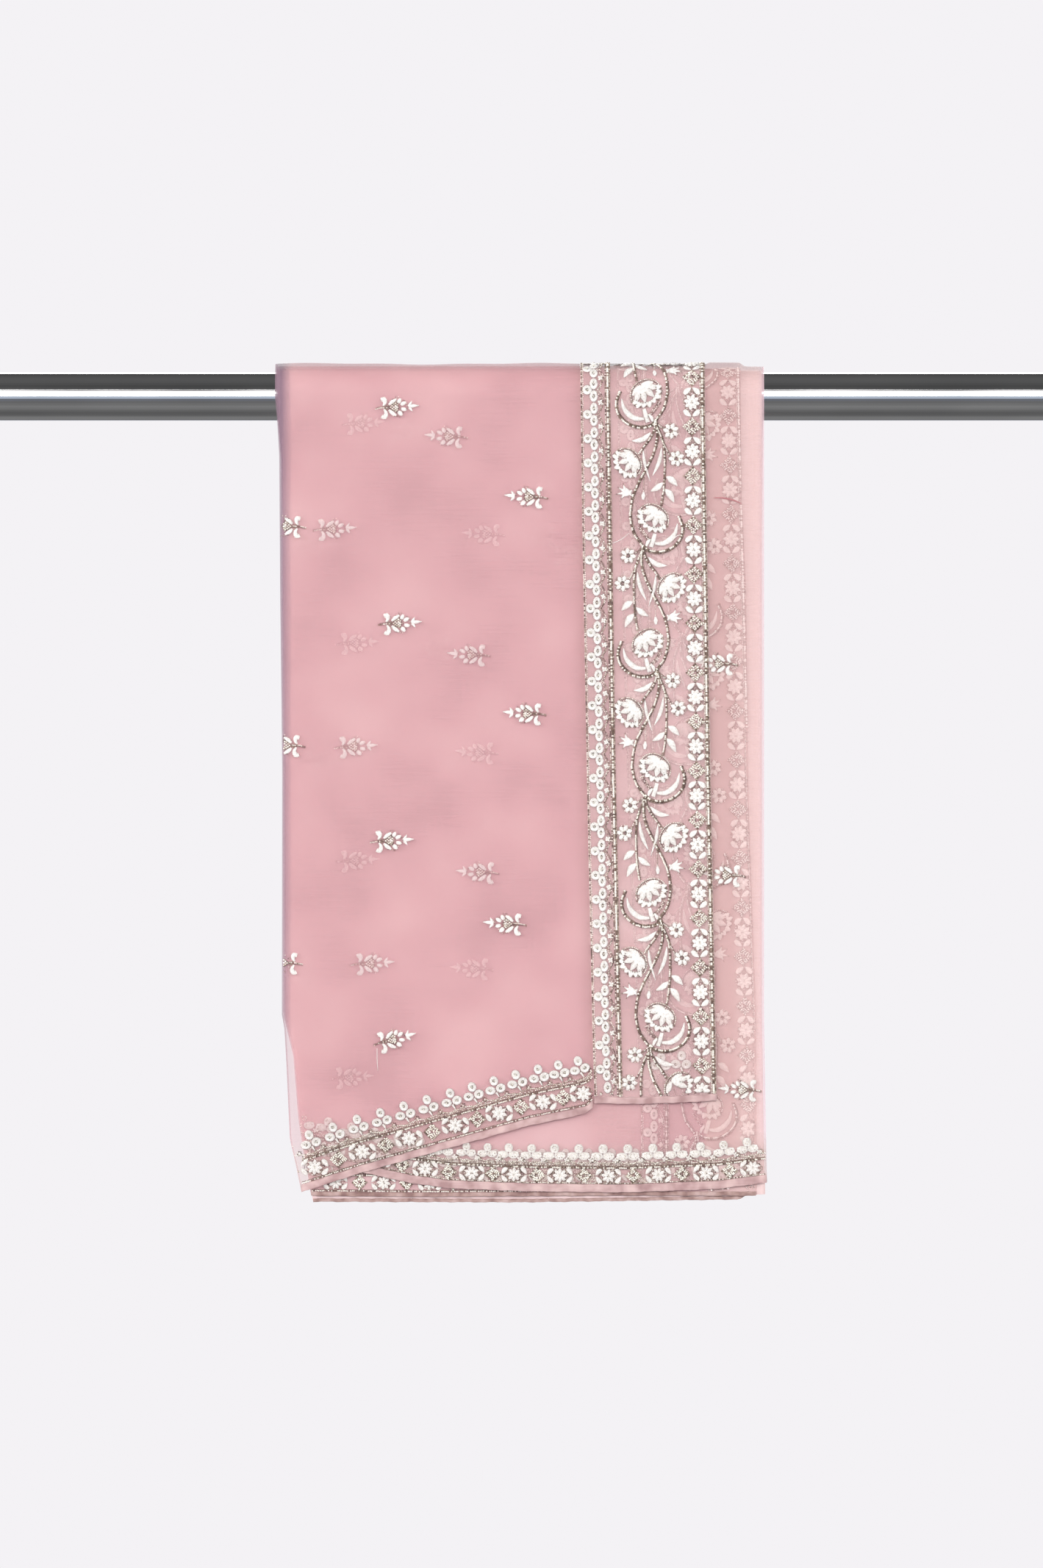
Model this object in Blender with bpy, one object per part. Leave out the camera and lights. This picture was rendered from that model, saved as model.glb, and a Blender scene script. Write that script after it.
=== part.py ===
"""Dupatta stole, folded lengthwise in eight and hung at mid-width over a round rod.

The origin is on the rod's axis, above the middle of the folded cloth. X runs along the rod,
-Y is the side that is looked at, and +Z is up. Each stretch of cloth that shows is a wall of
its own that follows one drape: down the front, over the rod and down the back.
"""
import math

import bpy
from mathutils import Vector
from mathutils.geometry import delaunay_2d_cdt

MM = 0.001

# Rod, in metres
ROD_RADIUS = 14.6 * MM
ROD_LENGTH = 660.0 * MM
ROD_BEVEL = 1.0 * MM
ROD_SIDES = 64

# The drape, in millimetres: each layer lies between two radii about the rod's axis
DRAPE_RADIUS = 19.0
QUARTER = DRAPE_RADIUS * math.pi / 2
SEAM = 0.3
HALF_SEAM = SEAM / 2
FOLDS_LAYER = (14.9, 16.0)
THIRD_LAYER = (16.3, 17.3)
SECOND_LAYER = (17.6, 18.75)
TOP_LAYER = (19.1, 20.3)
LAYER_STEP = 1.3
STEP_START = 0.6
STEP_END = 3.4
STEP_FADE = (60.0, 200.0)

# How much the falls wave in and out, in millimetres
WAVE_DEPTH = 1.1
WAVE_PITCH = 200.0
WAVE_DROP = 260.0

# Rows of points along the cloth, in degrees over the rod and in millimetres down each fall,
# and columns across it. All layers share them, so that their facets lie parallel
ARC_STEP = 15
FALL_STEP = 55.0
FALL_END = 500.0
ROW_CLEAR = 4.0
COLUMN_STEP = 33.0
COLUMN_CLEAR = 4.0
EDGE_CLEAR = 2.0
MEETING_ROUNDS = 6
ARC_ROWS = [QUARTER * degrees / 90 for degrees in range(-90, 91, ARC_STEP)]
COLUMNS = [k * COLUMN_STEP for k in range(-5, 6)]

# Raised work, in millimetres
CORD_HALF = 0.8
CORD_HEIGHT = 0.8
CORD_INSET = 1.2
CORD_END = 1.0
MOTIF_HEIGHT = 0.8
MOTIF_CLEAR = 0.8
MOTIF_GAP = 0.4
NEIGHBOUR_REACH = 45.0

# Edges that run down the cloth. Columns: drop below the rod's axis, x on the front
TOP_LEFT = [
    (0.0, -150.9),
    (14.4, -149.6),
    (36.5, -148.3),
    (117.5, -147.8),
    (230.0, -146.5),
    (378.5, -146.7),
    (387.5, -145.1),
    (410.9, -143.8),
    (455.0, -141.8),
    (469.4, -138.4),
    (487.0, -134.8),
]
LOWER_LEFT = [
    (0.0, -150.0),
    (36.5, -147.6),
    (117.5, -147.2),
    (230.0, -145.9),
    (378.5, -145.9),
    (403.7, -139.7),
    (442.4, -136.6),
    (493.2, -128.9),
]
LOWER_RIGHT = [
    (0.0, 148.5),
    (380.0, 148.5),
    (470.0, 150.0),
    (482.0, 150.4),
]
OTHER_END = [
    (0.0, 134.0),
    (63.0, 134.8),
    (117.5, 137.5),
    (250.0, 139.0),
    (374.0, 143.5),
    (490.0, 144.0),
]
PALLU_LEFT = [
    (0.0, 35.8),
    (92.7, 37.1),
    (250.0, 40.0),
    (400.0, 43.4),
    (433.0, 44.5),
]
PALLU_MIDDLE = [
    (0.0, 52.6),
    (230.0, 56.0),
    (433.0, 60.4),
]
PALLU_STARS = [
    (0.0, 104.2),
    (230.0, 107.2),
    (433.0, 110.8),
]
PALLU_RIGHT = [
    (0.0, 112.6),
    (230.0, 116.0),
    (342.0, 118.2),
    (433.0, 119.9),
]

# Edges that run across the front. Columns: x, drop below the rod's axis
TOP_HEM = [
    (-134.8, 487.4),
    (-99.2, 475.8),
    (-53.8, 463.0),
    (4.7, 446.6),
    (39.4, 439.4),
    (44.4, 434.6),
]
SECOND_HEM = [
    (-128.0, 462.0),
    (-99.2, 474.8),
    (-69.5, 481.5),
    (-43.9, 485.1),
    (4.7, 486.9),
    (62.8, 487.6),
    (120.0, 485.4),
    (150.6, 481.5),
]
PALLU_HEM = [
    (30.0, 431.8),
    (130.0, 431.4),
]
THIRD_INSET = 0.6
FOLDS_INSET = 1.2
THIRD_HEM = [
    (-150.0, 489.6),
    (150.0, 489.6),
]
FOURTH_HEM = [
    (-150.0, 493.2),
    (150.0, 491.6),
]

# Strips that finish each end of the falls: heights of the hem and of the band above it
TOP_FINISH = {"hem": 4.8, "band": 14.6, "star": 5.0}
SECOND_FINISH = {"hem": 4.0, "band": 12.0, "star": 3.8}
PALLU_FINISH = {"hem": 4.2}

# The cut is equally wide everywhere, so a shorter front fall has a longer back fall
FALLS_TOGETHER = 907.0

# Repeats of the needlework, in millimetres
VINE_START = 15.3
VINE_PITCH = 76.4
VINE_SWING = 6.8
VINE_MIDDLE = [
    (0.0, 78.3),
    (230.0, 81.0),
    (433.0, 85.8),
]
TREFOIL_PITCH = 14.9
TREFOIL_START = -4.0
TREFOIL_SHIFT = 1.0
TREFOIL_SIZE = 6.0
STAR_PITCH = 30.1
STAR_START = 3.6
STAR_SIZE = 5.5
DIAMOND_SIZE = 4.0
BAND_TREFOIL_PITCH = 14.3
BAND_TREFOIL_RISE = 8.4
BAND_STAR_PITCH = 29.2

# Sprigs scattered on the field. Columns: x, drop below the rod's axis, way that the tip points
TOP_SPRIGS = [
    (-76.3, 14.8, 1),
    (2.9, 61.7, -1),
    (-74.5, 139.1, 1),
    (2.0, 194.4, -1),
    (-79.4, 272.3, 1),
    (-10.1, 323.1, -1),
    (-77.6, 393.8, 1),
]
SPRIG_LENGTH = 27.0

# Where the raised work of each band lies clear of the stretch over it.
# Columns: hem's side, from x, to x of the cords, from x, to x of the stars
TOP_SPANS = {
    1: (-130.0, 36.0, -127.0, 38.0),
    -1: (-147.0, 32.0, -143.0, 26.0),
}
SECOND_SPANS = {
    1: (-52.0, 147.0, -52.0, 144.0),
    -1: (118.0, 145.0, 120.0, 141.0),
}

# Where the edgings of trefoils lie. Columns: from x, to x
TOP_EDGING = {1: (-127.0, 33.0), -1: (-140.0, 33.0)}
SECOND_EDGING = (-20.0, 136.0)

# Colours, red, green and blue in linear light
PINK = (0.77, 0.45, 0.48)
PALE_PINK = (0.80, 0.54, 0.56)
GREY_PINK = (0.66, 0.47, 0.46)
ROD_GREY = (0.55, 0.55, 0.56)


def clear_scene():
    for item in list(bpy.data.objects):
        bpy.data.objects.remove(item, do_unlink=True)


def material(name, colour, roughness, metallic):
    made = bpy.data.materials.new(name)
    made.use_nodes = True
    shader = made.node_tree.nodes["Principled BSDF"]
    shader.inputs["Base Color"].default_value = (*colour, 1.0)
    shader.inputs["Roughness"].default_value = roughness
    shader.inputs["Metallic"].default_value = metallic
    return made


def read_table(table, value):
    """The second column at a value of the first, in straight stretches between rows."""
    if value <= table[0][0]:
        return table[0][1]
    for (low, first), (high, second) in zip(table, table[1:]):
        if value <= high:
            return first + (second - first) * (value - low) / (high - low)
    return table[-1][1]


def smooth(share):
    """Eases a share that runs from 0 to 1."""
    share = max(0.0, min(1.0, share))
    return share * share * (3.0 - 2.0 * share)


def drop_of(along):
    """How far below the rod's axis a point lies; 0 on the half turn over the rod."""
    return max(0.0, abs(along) - QUARTER)


def edge_at(table, along):
    """X of an edge at a place along the cloth: the back fall keeps the line of the rod."""
    if along < 0:
        return table[0][1]
    return read_table(table, drop_of(along))


def back_edge(table):
    """The back fall's end that belongs to an end of the front fall."""
    return [(x, FALLS_TOGETHER - drop) for x, drop in table]


def raised(table, rise):
    """A line across a fall, moved up by a rise."""
    return [(x, drop - rise) for x, drop in table]


def shifted(table, shift):
    """An edge down the cloth, moved sideways."""
    return [(drop, x + shift) for drop, x in table]


def sway(x, drop, side):
    """How far a fall waves out from a plane, in millimetres."""
    share = min(1.0, drop / WAVE_DROP)
    return smooth(share) * WAVE_DEPTH * math.sin(2 * math.pi * x / WAVE_PITCH + 0.9 * side)


def drape(x, along, radius):
    """A point of the cloth, in metres, from its place on the flat cloth and its layer's radius."""
    side = 1.0 if along > 0 else -1.0
    drop = drop_of(along)
    if drop > 0:
        y = -side * (radius + sway(x, drop, side))
        return Vector((x, y, -drop)) * MM
    angle = along / DRAPE_RADIUS
    return Vector((x, -radius * math.sin(angle), radius * math.cos(angle))) * MM


def rows_between(low, high):
    """Places along the cloth where rows of points lie: close over the rod, wide on the falls."""
    rows = list(ARC_ROWS)
    for step in range(1, int(FALL_END / FALL_STEP) + 1):
        rows.append(QUARTER + step * FALL_STEP)
        rows.append(-QUARTER - step * FALL_STEP)
    return sorted(row for row in rows if low + ROW_CLEAR < row < high - ROW_CLEAR)


def meet(side_table, end_table, front):
    """The corner where an edge down the cloth meets an edge across it, as (x, along)."""
    sign = 1 if front else -1
    x = side_table[0][1]
    for _ in range(MEETING_ROUNDS):
        along = sign * (QUARTER + read_table(end_table, x))
        x = edge_at(side_table, along)
    return x, along


def places_across(line, low, high):
    """X of the points on a line across a fall: its own corners, and the common columns."""
    corners = [x for x, _ in line]
    free = [x for x in COLUMNS if all(abs(x - corner) > COLUMN_CLEAR for corner in corners)]
    return sorted(x for x in corners + free if low + COLUMN_CLEAR < x < high - COLUMN_CLEAR)


def end_points(first, last, end_table, sign):
    """Points of an end between its two corners, from the first to the last."""
    low, high = sorted((first[0], last[0]))
    places = places_across(end_table, low, high)
    if first[0] > last[0]:
        places.reverse()
    return [(x, sign * (QUARTER + read_table(end_table, x))) for x in places]


def fall_outline(left, right, front_end, back_end):
    """Outline of a stretch that runs down the front, over the rod and down the back."""
    front_left = meet(left, front_end, True)
    front_right = meet(right, front_end, True)
    back_left = meet(left, back_end, False)
    back_right = meet(right, back_end, False)
    outline = [back_left]
    outline += end_points(back_left, back_right, back_end, -1)
    outline.append(back_right)
    outline += [(edge_at(right, row), row) for row in rows_between(back_right[1], front_right[1])]
    outline.append(front_right)
    outline += end_points(front_right, front_left, front_end, 1)
    outline.append(front_left)
    left_rows = rows_between(back_left[1], front_left[1])
    outline += [(edge_at(left, row), row) for row in reversed(left_rows)]
    return outline


def strip_outline(left, right, high, low, sign):
    """Outline of a strip across one fall, between a higher and a lower line."""
    front = sign > 0
    high_left, high_right = meet(left, high, front), meet(right, high, front)
    low_left, low_right = meet(left, low, front), meet(right, low, front)
    outline = [high_left]
    outline += end_points(high_left, high_right, high, sign)
    outline += [high_right, low_right]
    outline += end_points(low_right, low_left, low, sign)
    outline.append(low_left)
    if not front:
        outline.reverse()
    return outline


def inside(point, loop):
    x, y = point
    hit = False
    for (ax, ay), (bx, by) in zip(loop, loop[1:] + loop[:1]):
        if (ay > y) != (by > y) and x < ax + (bx - ax) * (y - ay) / (by - ay):
            hit = not hit
    return hit


def distance_to_loop(point, loop):
    x, y = point
    nearest = 1e9
    for (ax, ay), (bx, by) in zip(loop, loop[1:] + loop[:1]):
        dx, dy = bx - ax, by - ay
        length = dx * dx + dy * dy
        share = 0.0
        if length > 0:
            share = max(0.0, min(1.0, ((x - ax) * dx + (y - ay) * dy) / length))
        nearest = min(nearest, math.hypot(x - ax - share * dx, y - ay - share * dy))
    return nearest


def lattice(outline):
    """Points inside an outline, on the rows and columns that all layers share."""
    low = min(along for x, along in outline)
    high = max(along for x, along in outline)
    points = []
    for row in rows_between(low, high):
        for column in COLUMNS:
            point = (column, row)
            if inside(point, outline) and distance_to_loop(point, outline) > EDGE_CLEAR:
                points.append(point)
    return points


def around(centre, turn, points):
    """Local points turned and moved to their place; turn 0 points along +X."""
    cos, sin = math.cos(turn), math.sin(turn)
    return [(centre[0] + x * cos - y * sin, centre[1] + x * sin + y * cos) for x, y in points]


def polar(count, reach):
    return [(reach(k) * math.cos(2 * math.pi * k / count), reach(k) * math.sin(2 * math.pi * k / count))
            for k in range(count)]


def trefoil(centre, turn, size):
    base = polar(9, lambda k: size * (1.0 if k % 3 == 0 else 0.66))
    tops = polar(3, lambda k: size * 0.5)
    return around(centre, turn, base), around(centre, turn, tops)


def star(centre, size):
    base = polar(12, lambda k: size * (1.0 if k % 2 == 0 else 0.72))
    return around(centre, 0.5 * math.pi, base), [centre]


def diamond(centre, size):
    return around(centre, 0.0, polar(4, lambda k: size)), [centre]


def small_flower(centre, size):
    return around(centre, 0.0, polar(6, lambda k: size)), [centre]


def leaf(centre, turn, length, width):
    base = [(length / 2, 0.0), (0.05 * length, width / 2), (-length / 2, 0.0), (0.05 * length, -width / 2)]
    return around(centre, turn, base), [centre]


def blossom(centre, turn, size):
    half = [(0.55, 0.26), (0.92, 0.6), (0.2, 0.8), (-0.6, 0.6)]
    base = [(-0.92, 0.0)] + [(x, -y) for x, y in reversed(half)] + [(1.0, 0.0)] + half
    tops = [(-0.4, 0.0), (0.3, 0.38), (0.3, -0.38)]
    scaled = [(x * size, y * size) for x, y in base]
    raised = [(x * size, y * size) for x, y in tops]
    return around(centre, turn, scaled), around(centre, turn, raised)


def crescent(centre, turn, size):
    """A curved horn, open towards its turn."""
    outer = [(size * math.cos(a), size * math.sin(a)) for a in (1.5, 2.3, 3.14, 3.98, 4.78)]
    inner = [(size * 0.7 * math.cos(a), size * 0.7 * math.sin(a)) for a in (4.1, 3.14, 2.18)]
    middle = [(size * 0.85 * math.cos(a), size * 0.85 * math.sin(a)) for a in (2.4, 3.14, 3.88)]
    return around(centre, turn, outer + inner), around(centre, turn, middle)


def sprig(centre, way, length):
    half = [(0.55, 0.13), (0.38, 0.34), (0.0, 0.46), (-0.34, 0.28), (-0.62, 0.46), (-0.72, 0.1)]
    base = [(1.0, 0.0)] + half + [(-1.0, 0.0)] + [(x, -y) for x, y in reversed(half)]
    tops = [(0.0, 0.0), (0.45, 0.0)]
    reach = length / 2
    turn = 0.0 if way > 0 else math.pi
    scaled = [(x * reach, y * reach) for x, y in base]
    raised = [(x * reach, y * reach) for x, y in tops]
    return around(centre, turn, scaled), around(centre, turn, raised)


def wall(name, outline, layer, paint, motifs=(), cords=(), lift=None):
    """A closed wall between a layer's two radii, with motifs and cords raised on its outer side."""
    lift = lift or (lambda x, along: 0.0)
    steps = [cord for cord in cords if cord["half"] == 0.0]
    outer = triangulate(outline, motifs, cords)
    inner = triangulate(outline, (), steps)
    count = len(outer["points"])
    places = [drape(x, along, layer[1] + height + lift(x, along)) for x, along, height in outer["points"]]
    places += [drape(x, along, layer[0] + lift(x, along)) for x, along, _ in inner["points"]]
    faces = [tuple(reversed(face)) for face in outer["faces"]]
    faces += [tuple(corner + count for corner in face) for face in inner["faces"]]
    rim = len(outline)
    for step in range(rim):
        after = (step + 1) % rim
        faces.append((step, after, after + count))
        faces.append((step, after + count, step + count))
    return mesh_object(name, places, faces, paint)


def triangulate(outline, motifs, cords):
    """Triangles on the flat cloth between the outline, the cords, the motifs and the lattice."""
    points = [(x, along, 0.0) for x, along in outline]
    edges = [(k, (k + 1) % len(outline)) for k in range(len(outline))]
    for cord in cords:
        for offset, height in cord_lines(cord["half"]):
            start = len(points)
            line = offset_line(cord["line"], offset)
            points.append((*line[0], 0.0))
            points += [(x, along, height) for x, along in line[1:-1]]
            points.append((*line[-1], 0.0))
            edges += [(k, k + 1) for k in range(start, len(points) - 1)]
    for base, tops in motifs:
        start = len(points)
        points += [(x, along, 0.0) for x, along in base]
        edges += [(start + k, start + (k + 1) % len(base)) for k in range(len(base))]
        points += [(x, along, MOTIF_HEIGHT) for x, along in tops]
    taken = points[len(outline):]
    on_rows = list(range(len(outline)))
    for x, along in lattice(outline):
        near = any(abs(x - a) < EDGE_CLEAR and abs(along - b) < EDGE_CLEAR for a, b, _ in taken)
        if not near and not any(inside((x, along), base) for base, _ in motifs):
            on_rows.append(len(points))
            points.append((x, along, 0.0))
    if not cords:
        edges += row_edges(points, on_rows, motifs)
    flat = [Vector((x, along)) for x, along, _ in points]
    found, _, faces, sources, _, _ = delaunay_2d_cdt(flat, edges, [], 1, 1e-5)
    heights = [points[source[0]][2] if source else 0.0 for source in sources]
    made = [(place.x, place.y, height) for place, height in zip(found, heights)]
    place_of = {source: new for new, group in enumerate(sources) for source in group}
    rim = [place_of[k] for k in range(len(outline))]
    rim_set = set(rim)
    order = rim + [k for k in range(len(made)) if k not in rim_set]
    new_index = {old: new for new, old in enumerate(order)}
    return {
        "points": [made[old] for old in order],
        "faces": [tuple(new_index[corner] for corner in face) for face in faces],
    }


def row_edges(points, on_rows, motifs):
    """Edges along the rows over the rod, which keep the half turn round between the motifs."""
    edges = []
    for row in ARC_ROWS:
        line = sorted((points[k][0], k) for k in on_rows if abs(points[k][1] - row) < 0.001)
        for (low, first), (high, second) in zip(line, line[1:]):
            if not any(crosses(base, low, high, row) for base, _ in motifs):
                edges.append((first, second))
    return edges


def crosses(loop, low, high, row):
    """Whether a motif reaches over a stretch of a row."""
    apart = max(x for x, _ in loop) < low or min(x for x, _ in loop) > high
    beside = max(y for _, y in loop) < row - MOTIF_GAP or min(y for _, y in loop) > row + MOTIF_GAP
    return not apart and not beside


def cord_lines(half):
    """Offsets and heights of a cord's lines: a ridge between two flat lines, or one bare line."""
    if half == 0.0:
        return [(0.0, 0.0)]
    return [(-half, 0.0), (0.0, CORD_HEIGHT), (half, 0.0)]


def offset_line(line, offset):
    """A line moved sideways, along its own normal."""
    moved = []
    last = len(line) - 1
    for k, (x, along) in enumerate(line):
        ax, ay = line[max(0, k - 1)]
        bx, by = line[min(last, k + 1)]
        length = math.hypot(bx - ax, by - ay)
        moved.append((x - offset * (by - ay) / length, along + offset * (bx - ax) / length))
    return moved


def cord_down(edge, low, high, half=CORD_HALF):
    """A cord, or with no width a bare line, that runs down the cloth along an edge."""
    rows = [low + CORD_END, low + 2 * CORD_END] + rows_between(low, high)
    rows += [high - 2 * CORD_END, high - CORD_END]
    return {"line": [(edge_at(edge, row), row) for row in rows], "half": half}


def cord_across(line, sign, left, right):
    """A cord that runs across a fall along a line."""
    places = [left, left + CORD_END] + places_across(line, left, right) + [right - CORD_END, right]
    return {"line": [(x, sign * (QUARTER + read_table(line, x))) for x in places], "half": CORD_HALF}


def mesh_object(name, places, faces, paint):
    mesh = bpy.data.meshes.new(name)
    mesh.from_pydata(places, [], faces)
    mesh.validate()
    mesh.materials.append(paint)
    made = bpy.data.objects.new(name, mesh)
    bpy.context.collection.objects.link(made)
    mesh.shade_smooth()
    mesh.set_sharp_from_angle(angle=math.radians(40))
    return made


def make_rod(paint):
    bpy.ops.mesh.primitive_cylinder_add(
        vertices=ROD_SIDES, radius=ROD_RADIUS, depth=ROD_LENGTH, rotation=(0.0, math.pi / 2, 0.0))
    rod = bpy.context.active_object
    rod.name = "rod"
    rod.data.materials.append(paint)
    bevel = rod.modifiers.new("round_ends", "BEVEL")
    bevel.width = ROD_BEVEL
    bevel.segments = 2
    bevel.limit_method = "ANGLE"
    rod.data.shade_smooth()
    rod.data.set_sharp_from_angle(angle=math.radians(40))
    return rod


def vine_motifs():
    """Blossoms, leaves and small flowers of the pallu's vine, one half unit after another."""
    # Columns: across, down, shape, turn in degrees, length, width
    unit = [
        (-7.0, -17.3, "blossom", 100, 9.4, 0.0),
        (-8.6, -13.4, "crescent", -75, 14.4, 0.0),
        (8.8, 6.2, "flower", 0, 4.2, 0.0),
        (11.6, 23.2, "flower", 0, 4.2, 0.0),
        (-9.6, 9.6, "leaf", 160, 11.0, 3.2),
        (-16.8, 25.8, "blossom", 250, 8.0, 0.0),
        (2.6, 27.6, "leaf", 100, 12.0, 2.6),
        (9.6, 37.4, "leaf", 25, 8.2, 4.4),
        (10.6, 44.6, "leaf", 60, 8.0, 4.2),
        (-17.4, 42.8, "flower", 0, 4.0, 0.0),
    ]
    motifs = []
    for number in range(-6, 6):
        along = QUARTER + VINE_START + number * VINE_PITCH
        flip = 1 if number % 2 == 0 else -1
        middle = edge_at(VINE_MIDDLE, along) + flip * VINE_SWING / 2
        for across, down, shape, degrees, length, width in unit:
            centre = (middle + flip * across, along + down)
            turn = math.radians(degrees if flip > 0 else 180 - degrees)
            if shape == "blossom":
                motifs.append(blossom(centre, turn, length))
            elif shape == "crescent":
                motifs.append(crescent(centre, turn, length))
            elif shape == "flower":
                motifs.append(small_flower(centre, length))
            else:
                motifs.append(leaf(centre, turn, length, width))
    return motifs


def column_motifs():
    """Trefoils down the pallu's left side, stars and diamonds down its right side."""
    motifs = []
    count = int(FALL_END / TREFOIL_PITCH)
    for number in range(-count, count):
        along = QUARTER + TREFOIL_START + number * TREFOIL_PITCH
        x = 0.5 * (edge_at(PALLU_LEFT, along) + edge_at(PALLU_MIDDLE, along)) + TREFOIL_SHIFT
        motifs.append(trefoil((x, along), math.pi, TREFOIL_SIZE))
    count = int(FALL_END / STAR_PITCH)
    for number in range(-count, count):
        along = QUARTER + STAR_START + number * STAR_PITCH
        motifs.append(star((edge_at(PALLU_STARS, along), along), STAR_SIZE))
        middle = along + STAR_PITCH / 2
        motifs.append(diamond((edge_at(PALLU_STARS, middle), middle), DIAMOND_SIZE))
    return motifs


def band_motifs(hem, finish, sign, left, right):
    """Stars and diamonds in a row, along the middle of the band above a hem."""
    motifs = []
    rise = finish["hem"] + finish["band"] / 2
    count = int((right - left) / (BAND_STAR_PITCH / 2))
    for number in range(count + 1):
        x = right - number * BAND_STAR_PITCH / 2
        centre = (x, sign * (QUARTER + read_table(hem, x) - rise))
        if number % 2 == 0:
            motifs.append(star(centre, finish["star"]))
        else:
            motifs.append(diamond(centre, finish["star"] * 0.8))
    return motifs


def edging_motifs(hem, finish, sign, left, right):
    """Trefoils in a row above a band, pointing up to the field."""
    motifs = []
    rise = finish["hem"] + finish["band"] + BAND_TREFOIL_RISE
    count = int((right - left) / BAND_TREFOIL_PITCH)
    for number in range(count + 1):
        x = right - number * BAND_TREFOIL_PITCH
        slope = (read_table(hem, x + 2.0) - read_table(hem, x - 2.0)) / 4.0
        centre = (x, sign * (QUARTER + read_table(hem, x) - rise))
        motifs.append(trefoil(centre, sign * (math.atan(slope) - math.pi / 2), TREFOIL_SIZE))
    return motifs


def kept(motifs, outline, cords=()):
    """Motifs inside an outline, clear of its edge, of every cord and of each earlier motif."""
    found = []
    lines = [cord["line"] + cord["line"][-2:0:-1] for cord in cords]
    for base, tops in motifs:
        clear = all(inside(p, outline) and distance_to_loop(p, outline) > MOTIF_CLEAR for p in base)
        for line in lines:
            clear = clear and all(distance_to_loop(p, line) > CORD_HALF + MOTIF_GAP for p in base)
        for other, _ in found:
            if clear and abs(base[0][1] - other[0][1]) < NEIGHBOUR_REACH:
                clear = all(distance_to_loop(p, other) > MOTIF_GAP and not inside(p, other) for p in base)
                clear = clear and not any(inside(p, base) for p in other)
        if clear:
            found.append((base, tops))
    return found


def end_strips(stretch, hem, side, paints):
    """The band and the hem that finish one end of a stretch, side being 1 in front, -1 behind."""
    left, right, finish = stretch["left"], stretch["right"], stretch["finish"]
    place = "front" if side > 0 else "back"
    cord_left, cord_right, star_left, star_right = stretch["spans"][side]
    band_low = raised(hem, finish["hem"] + HALF_SEAM)
    band_high = raised(hem, finish["hem"] + finish["band"] - HALF_SEAM)
    band = strip_outline(left, right, band_high, band_low, side)
    cords = [
        cord_across(raised(band_high, -CORD_INSET), side, cord_left, cord_right),
        cord_across(raised(band_low, CORD_INSET), side, cord_left, cord_right),
    ]
    motifs = kept(band_motifs(hem, finish, side, star_left, star_right), band, cords)
    wall(stretch["name"] + "_band_" + place, band, stretch["layer"], paints["band"], motifs, cords)
    strip = strip_outline(left, right, raised(hem, finish["hem"] - HALF_SEAM), hem, side)
    wall(stretch["name"] + "_hem_" + place, strip, stretch["layer"], paints["hem"])


def make_top_field(paints):
    """The outermost field, with the bands and hems at both of its ends."""
    hems = {1: TOP_HEM, -1: back_edge(TOP_HEM)}
    height = TOP_FINISH["hem"] + TOP_FINISH["band"] + HALF_SEAM
    right = shifted(PALLU_LEFT, -HALF_SEAM)
    field = fall_outline(TOP_LEFT, right, raised(hems[1], height), raised(hems[-1], height))
    motifs = []
    for side, hem in hems.items():
        motifs += [sprig((x, side * (QUARTER + drop)), way, SPRIG_LENGTH) for x, drop, way in TOP_SPRIGS]
        motifs += edging_motifs(hem, TOP_FINISH, side, *TOP_EDGING[side])
    wall("top_field", field, TOP_LAYER, paints["field"], kept(motifs, field))
    stretch = {
        "name": "top", "left": TOP_LEFT, "right": right,
        "finish": TOP_FINISH, "layer": TOP_LAYER, "spans": TOP_SPANS,
    }
    for side, hem in hems.items():
        end_strips(stretch, hem, side, paints)


def make_pallu(paints):
    """The worked end of the cloth, beside the field, with its own narrow hems."""
    hems = {1: PALLU_HEM, -1: back_edge(PALLU_HEM)}
    height = PALLU_FINISH["hem"] + HALF_SEAM
    left = shifted(PALLU_LEFT, HALF_SEAM)
    pallu = fall_outline(left, PALLU_RIGHT, raised(hems[1], height), raised(hems[-1], height))
    low = -QUARTER - read_table(raised(hems[-1], height), PALLU_HEM[0][0])
    high = QUARTER + read_table(raised(hems[1], height), PALLU_HEM[-1][0])
    cords = [
        cord_down(shifted(left, CORD_INSET), low, high),
        cord_down(PALLU_MIDDLE, low, high),
        cord_down(shifted(PALLU_RIGHT, -CORD_INSET), low, high),
    ]
    motifs = kept(vine_motifs() + column_motifs(), pallu, cords)
    wall("pallu", pallu, TOP_LAYER, paints["band"], motifs, cords)
    for side, hem in hems.items():
        strip = strip_outline(left, PALLU_RIGHT, raised(hem, PALLU_FINISH["hem"] - HALF_SEAM), hem, side)
        name = "pallu_hem_front" if side > 0 else "pallu_hem_back"
        wall(name, strip, TOP_LAYER, paints["hem"])


def make_second_layer(paints):
    """The stretch under the outermost one, which steps down past the other end's edge."""
    hems = {1: SECOND_HEM, -1: back_edge(SECOND_HEM)}
    height = SECOND_FINISH["hem"] + SECOND_FINISH["band"] + HALF_SEAM
    field = fall_outline(LOWER_LEFT, LOWER_RIGHT, raised(hems[1], height), raised(hems[-1], height))
    reach = QUARTER + STEP_FADE[1]
    lines = [cord_down(shifted(OTHER_END, shift), -reach, reach, 0.0) for shift in (STEP_START, STEP_END)]
    motifs = kept(edging_motifs(SECOND_HEM, SECOND_FINISH, 1, *SECOND_EDGING), field, lines)
    wall("second_field", field, SECOND_LAYER, paints["under"], motifs, lines, step_down)
    stretch = {
        "name": "second", "left": LOWER_LEFT, "right": LOWER_RIGHT,
        "finish": SECOND_FINISH, "layer": SECOND_LAYER, "spans": SECOND_SPANS,
    }
    for side, hem in hems.items():
        end_strips(stretch, hem, side, paints)


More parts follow.
